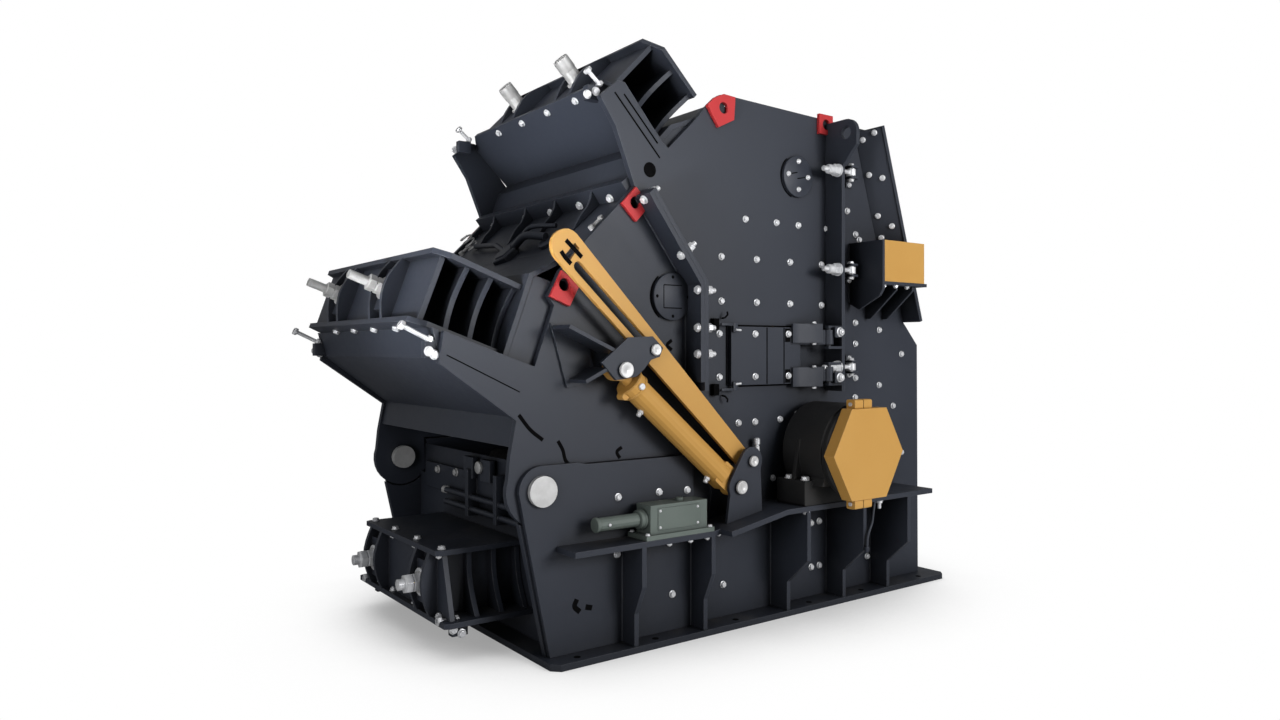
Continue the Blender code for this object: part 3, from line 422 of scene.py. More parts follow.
def circled(corners, center, radius, around=24):
    # an even walk round a convex outline and the same walk round a hole in it, as two rows of points
    corners, center = np.asarray(corners, float), np.asarray(center, float)
    turn = np.arctan2(*(corners - center).T[::-1])
    even = np.linspace(-math.pi, math.pi, around, False)
    angle = np.unique(np.round(np.concatenate([even, turn]), 5))
    ray = np.stack([np.cos(angle), np.sin(angle)], 1)
    step = np.roll(corners, -1, 0) - corners
    normal = step[:, ::-1] * [1, -1]
    normal *= np.sign(np.sum(normal * (corners - center), 1, keepdims=True))
    reach = np.sum(normal * (corners - center), 1)[None] / np.maximum(ray @ normal.T, 1e-9)
    return center + ray * reach.min(1)[:, None], center + ray * radius


def pierced(heap, corners, center, radius, low, high):
    # a convex plate with a round hole through it
    outer, inner = circled(corners, center, radius)
    heap.skin(laid([outer, outer, inner, inner], [low, high, high, low], "side"), True)


def tube(heap, line, radius, around=12):
    # a round tube along a bent line: each ring lies square to the mean of its two neighbours' directions
    line = np.asarray(line, float)
    step = np.gradient(line, axis=0)
    first, second = square(step)
    for back in range(1, len(line)):  # keeps the rings from twisting, one short step per ring
        first[back] = unit(first[back - 1] - unit(step)[back] * (first[back - 1] @ unit(step)[back]))
        second[back] = np.cross(unit(step)[back], first[back])
    angle = (np.arange(around) * 2 * math.pi / around)[:, None]
    ring = np.cos(angle) * first[:, None] + np.sin(angle) * second[:, None]
    heap.skin((line[:, None] + ring * np.broadcast_to(radius, (len(line),))[:, None, None])[None])


def eased(corners, radius, steps=5):
    # rounds each corner of a closed outline: points on a Bezier curve from one side to the next
    corners = np.asarray(corners, float)
    before = np.roll(corners, 1, 0) - corners
    after = np.roll(corners, -1, 0) - corners
    shorter = np.minimum(np.linalg.norm(before, axis=1), np.linalg.norm(after, axis=1))
    cut = np.minimum(radius, 0.45 * shorter)[:, None]
    start, end = corners + unit(before) * cut, corners + unit(after) * cut
    t = np.linspace(0, 1, steps)[None, :, None]
    points = start[:, None] * (1 - t) ** 2 + corners[:, None] * 2 * t * (1 - t) + end[:, None] * t ** 2
    return points.reshape(-1, 2)


def bothSides(points):
    # the same places on the near and the far side of the machine
    return np.concatenate([points, np.multiply(points, [1, -1, 1])])


def onWall(spots, face=wallFace, side=-1):
    # side-view places (x, z) on a plane of the near side
    x, z = np.transpose(spots)
    return np.stack([x, np.full(len(x), side * face), z], 1)


def outward(places):
    # straight out from the near or the far side, for each place
    return np.sign(places) * [0, 1, 0]


rng = np.random.default_rng(7)
bolt = {
    "washer": 1.22,  # each of these is a share of the head's radius
    "washerDeep": 0.2,
    "headDeep": 0.72,
    "stud": 0.52,
    "studDeep": 1.15,
}


def boltHeads(heap, places, outs, r):
    # washer, then a six-sided head with its corners turned off
    wide = bolt["washer"] * r
    deep = bolt["washerDeep"] * r
    top = deep + bolt["headDeep"] * r
    washer = knob(wide, deep * 0.8, deep, 1.14 * r)
    head = [(deep, r * 0.96), (deep * 1.1, r), (top - 0.12 * r, r), (top, 0.84 * r)]
    turned(heap, places, outs, washer, 18)
    turned(heap, places, outs, head, 6, rng.random(len(np.atleast_2d(places))))


def nuts(heap, places, outs, r):
    # the same with the bolt's thread standing out of it
    boltHeads(heap, places, outs, r)
    top = (bolt["washerDeep"] + bolt["headDeep"]) * r
    stud = bolt["stud"] * r
    out = bolt["studDeep"] * r
    turned(heap, places, outs, [(top, stud), (out, stud), (out + 0.06 * r, 0.8 * stud)], 12)


def wallBolts(heap, spots, face, r):
    # bolt heads on both sides of the machine
    places = bothSides(onWall(spots, face))
    boltHeads(heap, places, outward(places), r)


def thread(heap, start, end, radius, pitch, around=14):
    # rings of alternate radius along a line stand for the thread
    start, end = np.asarray(start, float), np.asarray(end, float)
    length = np.linalg.norm(end - start)
    count = int(length / pitch)
    along = np.repeat(np.arange(count) * pitch, 4) + np.tile([0, 0.25, 0.5, 0.75], count) * pitch
    wide = np.tile([0.9, 0.98, 0.98, 0.9], count) * radius
    turned(heap, [start], [end - start], np.stack([along, wide], 1), around)


wall = {
    "headRadius": 0.0125,
    "rows": [(-0.125, 1.714), (0.061, 1.714), (0.198, 1.713), (0.384, 1.712)]
    + [(x, z) for z in (1.544, 1.357) for x in (-0.263, -0.059, 0.146)]
    + [(0.35, 1.544), (0.35, 1.357), (-0.274, 1.219), (-0.274, 1.036), (-0.166, 0.838), (-0.069, 0.838)],
    "front": [(0.527, 1.808), (0.586, 1.702), (0.585, 1.28), (0.585, 1.18), (0.586, 1.017),
              (0.583, 0.924), (0.866, 1.354), (0.76, 1.248), (0.759, 0.979), (0.865, 0.874),
              (0.585, 0.8), (0.93, 1.13), (0.93, 0.64)],
    "low": [(-0.254, 0.16), (0.281, 0.359), (0.334, 0.362), (0.281, 0.158), (0.334, 0.159),
            (0.67, 0.155), (0.86, 0.34)],
    "cover": [(0.184, 1.998), (0.12, 1.936), (0.244, 1.932), (0.184, 1.872)],
}


def addWallBolts():
    heap = Heap()
    wallBolts(heap, wall["rows"] + wall["front"] + wall["low"], wallFace, wall["headRadius"])
    heap.piece("wall_bolts", "bolt_zinc", "frame")
    heap = Heap()
    wallBolts(heap, wall["cover"], wallFace + 0.0167, 0.0095)
    heap.piece("apron_cover_bolts", "bolt_zinc", "frame")


inletLeg = {
    "foot": (0.948, 1.288),
    "top": (0.6567, 2.2105),
    "inner": [(0.757, -0.062, 0.691), (0.555, -0.06, 0.693), (0.447, -0.062, 0.69), (0.925, -0.06, 0.693)],
    "outer": [(0.728, -0.024, 0.735), (0.492, -0.024, 0.735), (0.945, -0.022, 0.737)],
    "face": [0.06, 0.22, 0.38, 0.54, 0.7, 0.86],
    "faceBack": 0.0205,  # from the flange's line to its front
}


def upInlet(up, back, y):
    # up the inlet's flange from its foot, and back from its face
    foot, top = np.array(inletLeg["foot"]), np.array(inletLeg["top"])
    along = unit(top - foot)
    x, z = foot + along * up + np.array([along[1], -along[0]]) * back
    return (x, y, z)


def addInletBolts():
    # heads beside the flange's foot on each side, then the row on its face and those along its two ends
    heap = Heap()
    along = unit(np.array(inletLeg["top"]) - np.array(inletLeg["foot"]))
    out = unit([-along[1] * 0.75, -0.66, along[0] * 0.75])
    places = np.array([upInlet(up, back, -y) for up, back, y in inletLeg["inner"] + inletLeg["outer"]])
    places += out * 0.001
    for mirror in ([1, 1, 1], [1, -1, 1]):
        boltHeads(heap, places * mirror, out * mirror, 0.0115)
    front = [along[1], 0, -along[0]]
    face = inletLeg["faceBack"]
    places = np.array([upInlet(up, face, -0.72) for up in inletLeg["face"]])
    boltHeads(heap, bothSides(places), front, 0.0125)
    places = [upInlet(up, face, y) for up in (0.02, 0.94) for y in np.linspace(-0.6, 0.6, 7)]
    boltHeads(heap, places, front, 0.011)
    heap.piece("inlet_bolts", "bolt_zinc", "frame")


seam = {
    "top": (-0.7, 1.765),
    "knee": (-0.437, 1.419),
    "slope": [0.022, 0.285],  # stations down the slope
    "upright": [1.392, 1.24, 1.134],
    "places": [0.72, 0.752, 0.752, 0.752, 0.752],  # how far across each bolt is
    "radius": 0.015,
    "lift": 0.0203,
    "across": [-0.52, -0.29, -0.05, 0.18, 0.5],
}
nutLooks = [  # a seam nut's washer, its six sides and the thread past it: profile, points round
    (knob(0.0215, 0.004, 0.005, 0.0185), 24),
    ([(0.005, 0.017), (0.007, 0.0185), (0.027, 0.0185), (0.029, 0.0165)], 6),
    ([(0.029, 0.0105), (0.046, 0.0105), (0.048, 0.008)], 14),
]


def addSeamBolts():
    # nuts on the fixed flange with their threads out, heads on the hinged one
    top, knee = np.array(seam["top"]), np.array(seam["knee"])
    down = unit(knee - top)
    slant = np.array([-down[1], down[0]])  # away from the hinged housing
    spots = [(top + down * way, slant) for way in seam["slope"]]
    spots += [(np.array([knee[0], z]), np.array([1.0, 0.0])) for z in seam["upright"]]
    for hand, body, name in ((1, "frame", "seam_nuts"), (-1, "rear_housing", "seam_bolts")):
        heap = Heap()
        for side in (-1, 1):
            for (place, out), across in zip(spots, seam["places"]):
                x, z = place + out * hand * seam["lift"]
                spot, way = [(x, side * across, z)], (hand * out[0], 0, hand * out[1])
                if hand < 0:
                    boltHeads(heap, spot, way, seam["radius"])
                    continue
                for profile, around in nutLooks:
                    turned(heap, spot, way, profile, around, rng.random(1) if around == 6 else 0)
        # the same along the flanges that run across the roof
        x, z = top - down * 0.016 + slant * hand * 0.0205
        places = np.array([(x, y, z) for y in seam["across"]])
        make = nuts if hand > 0 else boltHeads
        make(heap, places, (hand * slant[0], 0, hand * slant[1]), seam["radius"])
        heap.piece(name, "bolt_zinc", body)


addWallBolts()
addInletBolts()
addSeamBolts()
print("wall, inlet and seam bolts are on")

lug = {
    "thick": 0.016,
    "radius": 0.024,
    "places": {  # body, hole and corners
        "peak": ("frame", (-0.263, 2.168), [(-0.352, 2.168), (-0.31, 2.206), (-0.262, 2.227),
                                            (-0.196, 2.224), (-0.203, 2.126), (-0.288, 2.084)]),
        "inlet": ("frame", (0.368, 2.19), [(0.322, 2.236), (0.322, 2.145), (0.412, 2.145), (0.412, 2.236)]),
        "seam": ("rear_housing", (-0.721, 1.726),
                 [(-0.716, 1.788), (-0.784, 1.718), (-0.716, 1.652), (-0.652, 1.72)]),
        "rear": ("rear_housing", (-1.043, 1.392),
                 [(-1.054, 1.444), (-1.104, 1.346), (-1.021, 1.312), (-0.978, 1.392)]),
    },
}


def addLugs():
    # red lifting lugs, each a pierced plate laid on the wall
    for name, (body, hole, corners) in lug["places"].items():
        heap = Heap()
        pierced(heap, corners, hole, lug["radius"], -wallFace - lift, -wallFace - lug["thick"])
        heap.mirror()
        heap.piece(name + "_lugs", "red_paint", body, sharp=30)


addLugs()
print("lifting lugs are on")

boxBodies = (("upper", "frame"), ("middle", "rear_housing"), ("lower", "frame"))
doorBodies = ((-1, "door_near"), (1, "door_far"))


def boxPlace(box, back, up, y):
    # a point given in an adjuster box's own axes
    (x, z), angle = box["seat"], math.radians(box["tilt"])
    return (x + math.cos(angle) * back + math.sin(angle) * up, y,
            z - math.sin(angle) * back + math.cos(angle) * up)


def band(heap, line, width, low, high, hands=(-1, 1)):
    # a thin strip along a line on a wall: four points at each of its stations
    line = np.asarray(line, float)
    step = unit(np.gradient(line, axis=0))
    left = np.stack([-step[:, 1], step[:, 0]], 1) * width / 2
    rows = np.stack([line + left, line + left, line - left, line - left], 1)
    for side in hands:
        ends = np.broadcast_to(np.array([low, high, high, low]) * side, rows.shape[:2])
        heap.skin(np.stack([rows[..., 0], ends, rows[..., 1]], -1)[None])


def bow(center, radius, first, last, steps=14):
    # points on an arc in the side view, angles in degrees
    angle = np.radians(np.linspace(first, last, steps))
    return np.stack([center[0] + radius * np.cos(angle), center[1] + radius * np.sin(angle)], 1)


def curved(points, steps=5):
    # a smooth line through points: Catmull-Rom, p(t) = sum of the four neighbours' shares
    points = np.asarray(points, float)
    padded = np.concatenate([[2 * points[0] - points[1]], points, [2 * points[-1] - points[-2]]])
    t = np.linspace(0, 1, steps, endpoint=False)[None, :, None]
    a, b, c, d = (padded[i:len(padded) - 3 + i][:, None] for i in range(4))
    way = 2 * b + (c - a) * t + (2 * a - 5 * b + 4 * c - d) * t ** 2 + (3 * b - a - 3 * c + d) * t ** 3
    way *= 0.5
    return np.concatenate([way.reshape(-1, points.shape[1]), points[-1:]])


def brick(heap, low, high, ease=0.0015):
    # a box between two corners, with its upright edges eased
    (x0, y0, z0), (x1, y1, z1) = low, high
    corners = [(x0, y0), (x1, y0), (x1, y1), (x0, y1)]
    plate(heap, eased(corners, ease, 3), z0, z1, "floor")


cover = {
    "deep": 0.0162,
    "upper": (0.185, 1.93), "upperRadius": 0.092,
    "middle": (-0.535, 1.365), "middleRadius": 0.096,
    "slots": [[(0.139, 1.939), (0.177, 1.948)], [(0.177, 1.92), (0.229, 1.931)]],
    "dots": 0.079,
}
groove = {
    "looks": {"frame": ("frame", wallFace, 0.007), "rear": ("rear_housing", wallFace, 0.014),
              "faint": ("rear_housing", wallFace, 0.004), "cheek": ("frame", 0.69, 0.02),
              "stay": ("stays", 0.754, 0.017)},
    "deep": 0.0008,
    "doorFace": 0.692,
    "frame": [[(-0.808, 2.146), (-0.589, 1.919)], [(-0.764, 2.146), (-0.6, 1.976)],
              [(-0.234, 1.254), (-0.234, 1.0)], [(-0.2, 1.2545), (0.175, 1.2545)],
              [(-0.165, 0.9955), (0.175, 0.9955)]],
    # in rear the second and third lines are crescents of painted shadow: the shaded inner edge of plugged
    # round holes
    "rear": [[(-1.063, 0.814), (-1.042, 0.779), (-1.029, 0.738), (-0.994, 0.709)],
             [(-0.775, 0.773), (-0.798, 0.756), (-0.784, 0.731)],
             [(-0.528, 1.19), (-0.552, 1.17), (-0.528, 1.15)],
             [(-1.226, 0.917), (-1.18, 0.862), (-1.127, 0.821)]],
    "faint": [[(-1.503, 1.133), (-1.222, 0.999)]],
    "cheek": [[(-0.993, 0.222), (-1.003, 0.197), (-0.98, 0.173)], [(-0.955, 0.187), (-0.926, 0.179)]],
    "stay": [[(-1.1, 1.506), (-1.084, 1.485), (-1.058, 1.462)],
             [(-1.08, 1.547), (-1.046, 1.518), (-1.012, 1.489)]],
    "door": [[(-0.017, 1.248), (-0.017, 1.002)], [(0.087, 1.248), (0.087, 1.002)]],
    "open": [(0.094, 1.186, 0.126, 1.245), (0.094, 1.005, 0.126, 1.064)],
}


def addCovers():
    # painted covers over the aprons' bar ends, with a dark arc on their left side: the ring gap round each
    # cover, drawn only on the side where its shadow shows, so painted shadow
    deep = cover["deep"]
    face = wallFace + lift + deep
    shadowArcs = {"upper": (0.0965, 252), "middle": (0.101, 236)}
    for name, body in boxBodies[:2]:
        heap = Heap()
        radius = cover[name + "Radius"]
        spots = bothSides(onWall([cover[name]], wallFace + lift))
        profile = knob(radius, deep - 0.002, deep, radius - 0.003)
        turned(heap, spots, outward(spots), profile, 64)
        heap.piece(name + "_cover", "dark_paint", body)
    for name, body in boxBodies[:2]:
        heap = Heap()
        radius, last = shadowArcs[name]
        # painted shadow: the ring gap's dark arc, on the left side only
        band(heap, bow(cover[name], radius, 128, last), 0.006, wallFace, wallFace + 0.001)
        if name == "upper":
            for line in cover["slots"]:
                band(heap, line, 0.005, face - lift, face + 0.0006)
        else:
            x, z = cover[name]
            corners = [(x + dx * 0.046, z + dz * 0.046) for dx, dz in ((1, 1), (-1, 1), (-1, -1), (1, -1))]
            for line in zip(corners, corners[1:]):
                band(heap, line, 0.004, face - lift, face + 0.0005)
            turns = np.radians([0, 90, 180, 270])
            spots = np.stack([x + cover["dots"] * np.cos(turns), z + cover["dots"] * np.sin(turns)], 1)
            places = bothSides(onWall(spots, face))
            turned(heap, places, outward(places), [(-lift, 0.007), (0.0012, 0.006)], 12)
        heap.piece(name + "_cover_gap", "gap_and_shadow_dark", body)


def addGrooves():
    # thin black lines where plates meet or a slot is cut, and a few crescents of painted shadow inside
    # plugged round holes: body, face and width
    deep = groove["deep"]
    for where, (body, face, wide) in groove["looks"].items():
        heap = Heap()
        for line in groove[where]:
            band(heap, curved(line) if len(line) > 2 else line, wide, face - lift, face + deep)
        if where == "frame":
            # a dark disc for a round hole: painted shade inside it
            places = bothSides(onWall([(-0.639, 1.866)], wallFace - lift))
            turned(heap, places, outward(places), [(0, 0.03), (0.0014, 0.03)], 32)
        heap.piece("grooves_" + where, "gap_and_shadow_dark", body)
    face = groove["doorFace"]
    for side, body in doorBodies:
        heap = Heap()
        for line in groove["door"]:
            band(heap, line, 0.006, face - lift, face + deep, [side])
        for x0, z0, x1, z1 in groove["open"]:
            brick(heap, (x0, side * (face - lift), z0), (x1, side * (face + 0.001), z1), 0.001)
        heap.piece("grooves_" + body, "gap_and_shadow_dark", body)


addCovers()
addGrooves()
print("covers and grooves are on")

door = {
    "face": 0.6925,
    "bolts": [(-0.089, 1.219), (0.112, 1.221), (-0.089, 1.036), (0.112, 1.036)],
    "straps": [(1.182, 1.268), (0.986, 1.072)],
    "strapBolt": (0.23, 0.738),
    "strapPlan": [(0.132, 0.6935), (0.18, 0.6935), (0.274, 0.742),
                  (0.27, 0.753), (0.176, 0.704), (0.132, 0.704)],
    "strapTops": [1.268, 1.072],
    "strapFeet": [1.182, 0.986],
    "handle": [(-0.262, 0.676, 0.026), (-0.262, 0.694, 0.028), (-0.255, 0.702, 0.04), (-0.25, 0.694, 0.052)],
    "latch": [(1.258, 1), (0.984, -1)],
    "keeper": [1.231, 1.026],
}


def addDoors():
    # bolts, strap hinges and latches on the doors, their catches and hinge nuts on the wall
    for side, body in doorBodies:
        heap = Heap()
        boltHeads(heap, onWall(door["bolts"], door["face"] + lift, side), (0, side, 0), 0.0125)
        for hand, heights in ((1, door["strapTops"]), (-1, door["strapFeet"])):
            x, y = door["strapBolt"]
            places = [(x, side * y, z + hand * 0.001) for z in heights]
            boltHeads(heap, places, (0, 0, hand), 0.009)
        for z, up in door["latch"]:
            ends = [(-0.212, side * 0.704, z - up * 0.022), (-0.182, side * 0.704, z - up * 0.024)]
            tube(heap, ends, 0.0048)
        heap.piece(body + "_bolts", "bolt_zinc", body)
        heap = Heap()
        for z0, z1 in door["straps"]:
            plate(heap, np.array(door["strapPlan"]) * [1, side], z0, z1, "floor")
        for z, up in door["latch"]:
            brick(heap, (-0.287, side * 0.6935, z - 0.005), (-0.205, side * 0.701, z + 0.005))
            low, high = (0.032, 0.006) if up > 0 else (0.006, 0.032)
            brick(heap, (-0.222, side * 0.6925, z - low), (-0.198, side * 0.703, z + high))
        heap.piece(body + "_straps", "dark_paint", body, sharp=30)
    heap, iron = Heap(), Heap()
    for z, up in door["latch"]:
        brick(heap, (-0.322, -wallFace, z - 0.024), (-0.292, -0.692, z + 0.024))
        tube(heap, [(x, -y, z + up * rise) for x, y, rise in door["handle"]], 0.004)
    for z in door["keeper"]:
        brick(iron, (0.314, -0.78, z - 0.024), (0.379, -0.789, z + 0.024))
    heap.mirror()
    iron.mirror()
    heap.piece("latch_blocks", "gap_and_shadow_dark", "frame", sharp=30)
    iron.piece("hinge_keepers", "dark_paint", "frame", sharp=30)
    heap = Heap()
    places = bothSides([(0.342, -0.7893, z) for z in door["keeper"]])
    nuts(heap, places, outward(places), 0.0175)
    heap.piece("hinge_nuts", "bolt_zinc", "frame")


clamp = {
    "heights": [1.97, 1.518, 1.072],
    "y": 0.748,
    "bracket": (0.44, 0.502),  # along X, on the wall
    "pin": 0.466,
    "turnings": [  # x, radius and length of each turned part, from the pin to the end of the nut
        (0.3775, knob(0.03, 0.005, 0.0055, 0.027), 28, 0),
        (0.372, [(0, 0.0262), (0.002, 0.0275), (0.027, 0.0275), (0.03, 0.0245)], 6, 0.3),
        (0.342, knob(0.0215, 0.03, 0.034, 0.018), 24, 0),
    ],
}


def addClamps():
    # swing bolts: a bracket on the wall, an upright pin, the shank through the flange and its nut
    steel, iron = Heap(), Heap()
    x0, x1 = clamp["bracket"]
    pin = clamp["pin"]
    for side in (-1, 1):
        y, wallY, end = side * clamp["y"], side * wallFace, side * 0.772
        for z in clamp["heights"]:
            for up in (-1, 1):
                corners = [(x0, wallY), (x1 + 0.016, wallY), (x1 - 0.01, end), (x0 + 0.006, end)]
                plate(iron, eased(corners, 0.01, 4), z + up * 0.02, z + up * 0.03, "floor")
            brick(iron, (x1 + 0.01, wallY, z - 0.052), (x1 + 0.055, side * 0.678, z + 0.052))
            tube(steel, [(pin, y, z - 0.034), (pin, y, z + 0.034)], 0.0105)
            for up in (1, -1):
                boltHeads(steel, [(pin, y, z + up * 0.0303)], (0, 0, up), 0.0125)
            eye = [(0, 0.019), (0.002, 0.021), (0.031, 0.021), (0.033, 0.019)]
            turned(steel, [(pin, y, z - 0.0165)], (0, 0, 1), eye, 24)
            tube(steel, [(0.452, y, z), (0.3, y, z)], 0.0105)
            thread(steel, (0.3, y, z), (0.278, y, z), 0.0125, 0.003)
            for x, profile, around, spin in clamp["turnings"]:
                turned(steel, [(x, y, z)], (-1, 0, 0), profile, around, spin)
            places = [(x1 + 0.032, side * 0.678, z + dz) for dz in (0.04, -0.04)]
            boltHeads(steel, places, (0, side, 0), 0.0095)
    steel.piece("swing_bolts", "bolt_zinc", "frame")
    iron.piece("swing_brackets", "dark_paint", "frame", sharp=30)


addDoors()
addClamps()
print("door fittings and swing bolts are on")

boxes = {
    "upper": {"seat": (-0.715, 2.302), "tilt": 44.0, "low": -0.127, "high": 0.173},
    "middle": {"seat": (-1.56, 1.379), "tilt": 20.0, "low": -0.137, "high": 0.137},
    "lower": {"seat": (-1.415, 0.262), "tilt": 0.0, "low": -0.137, "high": 0.137},
}
tee = {  # each adjusting bolt's two ends, how far across, its block and the block's two bolt heads
    "upper": ((-0.884, 2.244), (-0.815, 2.188), 0.585, (-0.852, 2.15), [(-0.889, 2.14), (-0.85, 2.158)]),
    "middle": ((-1.655, 1.237), (-1.531, 1.177), 0.628, (-1.535, 1.15), [(-1.556, 1.146), (-1.536, 1.134)]),
    "lower": ((-1.42, 0.144), (-1.332, 0.136), 0.395, (-1.33, 0.104), [(-1.36, 0.106), (-1.326, 0.086)]),
}


def addTees(name, body):
    # an adjusting bolt at each end of a box, its nut, and the block with two bolt heads that holds it
    first, last, across, (x, z), heads = tee[name]
    steel, iron = Heap(), Heap()
    for side in (-1, 1):
        y = side * across
        start, end = (np.array([spot[0], y, spot[1]]) for spot in (first, last))
        out = end - start
        tube(steel, [start, end], 0.0085, 14)
        turned(steel, [start], out, [(0, 0.015), (0.003, 0.0175), (0.014, 0.0175), (0.017, 0.015)], 6)
        nut = [(0, 0.015), (0.002, 0.017), (0.013, 0.017), (0.015, 0.015)]
        turned(steel, [start * 0.2 + end * 0.8], out, nut, 6, 0.4)
        boltHeads(steel, onWall(heads, across + 0.014, side), (0, side, 0), 0.0145)
        low, high = sorted((y - side * 0.022, y + side * 0.014))
        brick(iron, (x - 0.034, low, z - 0.026), (x + 0.03, high, z + 0.03), 0.002)
    steel.piece(name + "_tee_bolts", "bolt_zinc", body)
    iron.piece(name + "_tee_blocks", "dark_paint", body, sharp=30)


boxBolts = {  # how far back from the seat, the places across, and on which faces
    "upper": (0.03, (-0.343, -0.114, 0.114, 0.343), (-1,)),
    "middle": (0.056, (-0.343, -0.114, 0.114, 0.343), (-1,)),
    "lower": (0.034, (-0.35, -0.117, 0.117, 0.35), (1, -1)),
}


def addBoxBolts():
    for name, body in boxBodies:
        back, ys, hands = boxBolts[name]
        box = boxes[name]
        heap = Heap()
        angle = math.radians(box["tilt"])
        up = np.array([math.sin(angle), 0, math.cos(angle)])
        for hand in hands:
            face = box["high" if hand > 0 else "low"]
            outer = [boxPlace(box, back, face + hand * 0.0003, y) for y in ys]
            inner = [boxPlace(box, back - 0.01, face - hand * 0.0203, y) for y in ys]
            boltHeads(heap, outer, up * hand, 0.0135)
            nuts(heap, inner, -up * hand, 0.0125)
        heap.piece(name + "_box_bolts", "bolt_zinc", body)
        addTees(name, body)


spindle = {
    "upper": {"reach": 0.12, "radius": 0.034, "steps": False, "finish": "grey_steel"},
    "middle": {"reach": 0.149, "radius": 0.034, "steps": True, "finish": "grey_steel"},
    "lower": {"reach": 0.11, "radius": 0.041, "steps": True, "finish": "bolt_zinc"},
    "y": 0.25,
    "flats": [(0.0125, 0.9), (0.015, 0.93), (0.04, 0.93), (0.042, 0.78),  # way out and share of the radius
              (0.046, 0.78), (0.048, 0.93), (0.0715, 0.93), (0.0735, 0.86)],
}


def addSpindles():
    # threads and flats on the ends of the adjuster spindles, in place of the plain bars outside the boxes
    for name, body in boxBodies:
        box, look = boxes[name], spindle[name]
        heap = Heap()
        for side in (-1, 1):
            base = np.array(boxPlace(box, 0, 0, side * spindle["y"]))
            out = base - boxPlace(box, 1, 0, side * spindle["y"])
            reach, r = look["reach"], look["radius"]
            if look["steps"]:
                thread(heap, base + out * 0.072, base + out * (reach - 0.006), r * 0.535, 0.0042, 16)
                turned(heap, [base], out, [(way, r * share) for way, share in spindle["flats"]], 6, 0.26)
                turned(heap, [base], out, [(0.0008, r * 1.3), (0.012, r * 1.3), (0.0135, r * 1.22)], 40)
            else:
                turned(heap, [base], out, [(0.0008, r * 1.3), (0.011, r * 1.3), (0.0125, r * 1.22)], 40)
                thread(heap, base + out * 0.014, base + out * 0.06, r * 1.02, 0.005, 24)
                tip = [(0.06, 1.02), (0.062, 1.05), (reach - 0.003, 1.05), (reach - 0.0005, 0.96)]
                turned(heap, [base], out, [(way, r * share) for way, share in tip], 32)
        heap.piece(name + "_spindle_ends", look["finish"], body, "grey_steel")


addBoxBolts()
addSpindles()
print("adjuster fittings are on")

bearing = {
    "axis": (0.26, 0.71),
    "foot": 0.245,
    "footFace": 0.885,
    "footTop": 0.596,
    "shelf": 0.4903,
    "dome": 0.21,
    "inside": 0.7205,
    "bolts": [(-0.208, 0.852), (0.208, 0.852), (-0.216, 0.766), (0.216, 0.766)],
    "rib": [(0.238, -0.116), (0.18, -0.116), (0.18, 0.06), (0.2035, 0.06)],
    "ear": {"low": -0.084, "high": 0.024, "from": 0.19, "to": 0.231, "faces": (-0.971, -1.018)},
}


def addBearings():
    # a smooth cast housing on a tall foot, with a turned ring before the cover
    x, z = bearing["axis"]
    foot, top, low, inside = bearing["foot"], bearing["footTop"], bearing["shelf"], bearing["inside"]
    for name, side in (("near", -1), ("far", 1)):
        heap = Heap()
        start = math.degrees(math.asin((top + 0.012 - z) / bearing["dome"]))
        dome = bow((x, z), bearing["dome"], start, 180 - start, 56)
        corners = eased([(x - foot, low), (x + foot, low), (x + foot, top), (x - foot, top)], 0.01, 4)
        plate(heap, corners, side * inside, side * bearing["footFace"])
        body = np.concatenate([[(x + 0.198, top - 0.02)], dome, [(x - 0.198, top - 0.02)]])
        plate(heap, body, side * inside, side * 0.94)
        turned(heap, [(x, side * 0.9395, z)], (0, side, 0), knob(0.2, 0.02, 0.0285, 0.192), 72)
        for hand in (-1, 1):  # a rib from the foot up the dome
            plate(heap, [(x + hand * dx, z + dz) for dx, dz in bearing["rib"]], side * 0.8, side * 0.818)
        node = "bearing_housing_" + name
        heap.piece("bearing_casting_" + name, "black_paint", "frame", nodes=[node], sharp=35)
    heap = Heap()
    boltHeads(heap, bothSides([(x + dx, -y, top) for dx, y in bearing["bolts"]]), (0, 0, 1), 0.017)
    under = bothSides([(x + dx, -0.872, 0.4677) for dx in (-0.222, 0.252)])
    nuts(heap, under, (0, 0, -1), 0.015)
    turned(heap, under, (0, 0, -1), knob(0.009, 0.036, 0.038, 0.007), 12)
    heap.piece("bearing_bolts", "bolt_zinc", "frame")
    pins, knuckles = Heap(), Heap()
    ear = bearing["ear"]
    first, last = x + ear["low"], x + ear["high"]
    middle = (first + last) / 2
    y0, y1 = ear["faces"]
    for up in (-1, 1):
        z0, z1 = z + up * ear["from"], z + up * ear["to"]
        tube(pins, [(x, -0.995, (z0 + z1) / 2) for x in (first - 0.006, last + 0.006)], 0.0085)
        corners = eased([(y0, z0), (y1, z0), (y1, z1), (y0, z1)], 0.01, 5)
        plate(knuckles, corners, first, middle - 0.002, "cross")
        plate(knuckles, corners, middle + 0.002, last, "cross")
    for heap in (pins, knuckles):
        heap.mirror()
    pins.piece("cover_pins", "bolt_zinc", "frame")
    knuckles.piece("cover_knuckles", "yellow_paint", "frame")


lifter = {
    "foot": (-0.275, 0.589),
    "rod": (-0.851, 1.076),
    "y": -0.745,
    "ports": [0.125, 0.563],
    "stayFoot": (-0.208, 0.691),
    "stayPin": (-0.711, 1.151),
    "block": [(0.036, -0.049), (0.036, 0.049), (0.112, 0.049), (0.112, -0.049)],  # along and across
    "ear": [(0.652, 0.04), (0.654, 0.068), (0.667, 0.076), (0.68, 0.068), (0.684, 0.04)],
    "lifting_pins": [("rod", 0.8063, 0.03), ("stayPin", 0.8043, 0.0215)],  # where, face and radius
    "foot_pins": [("foot", 0.8083, 0.0275), ("stayFoot", 0.8083, 0.022)],
}


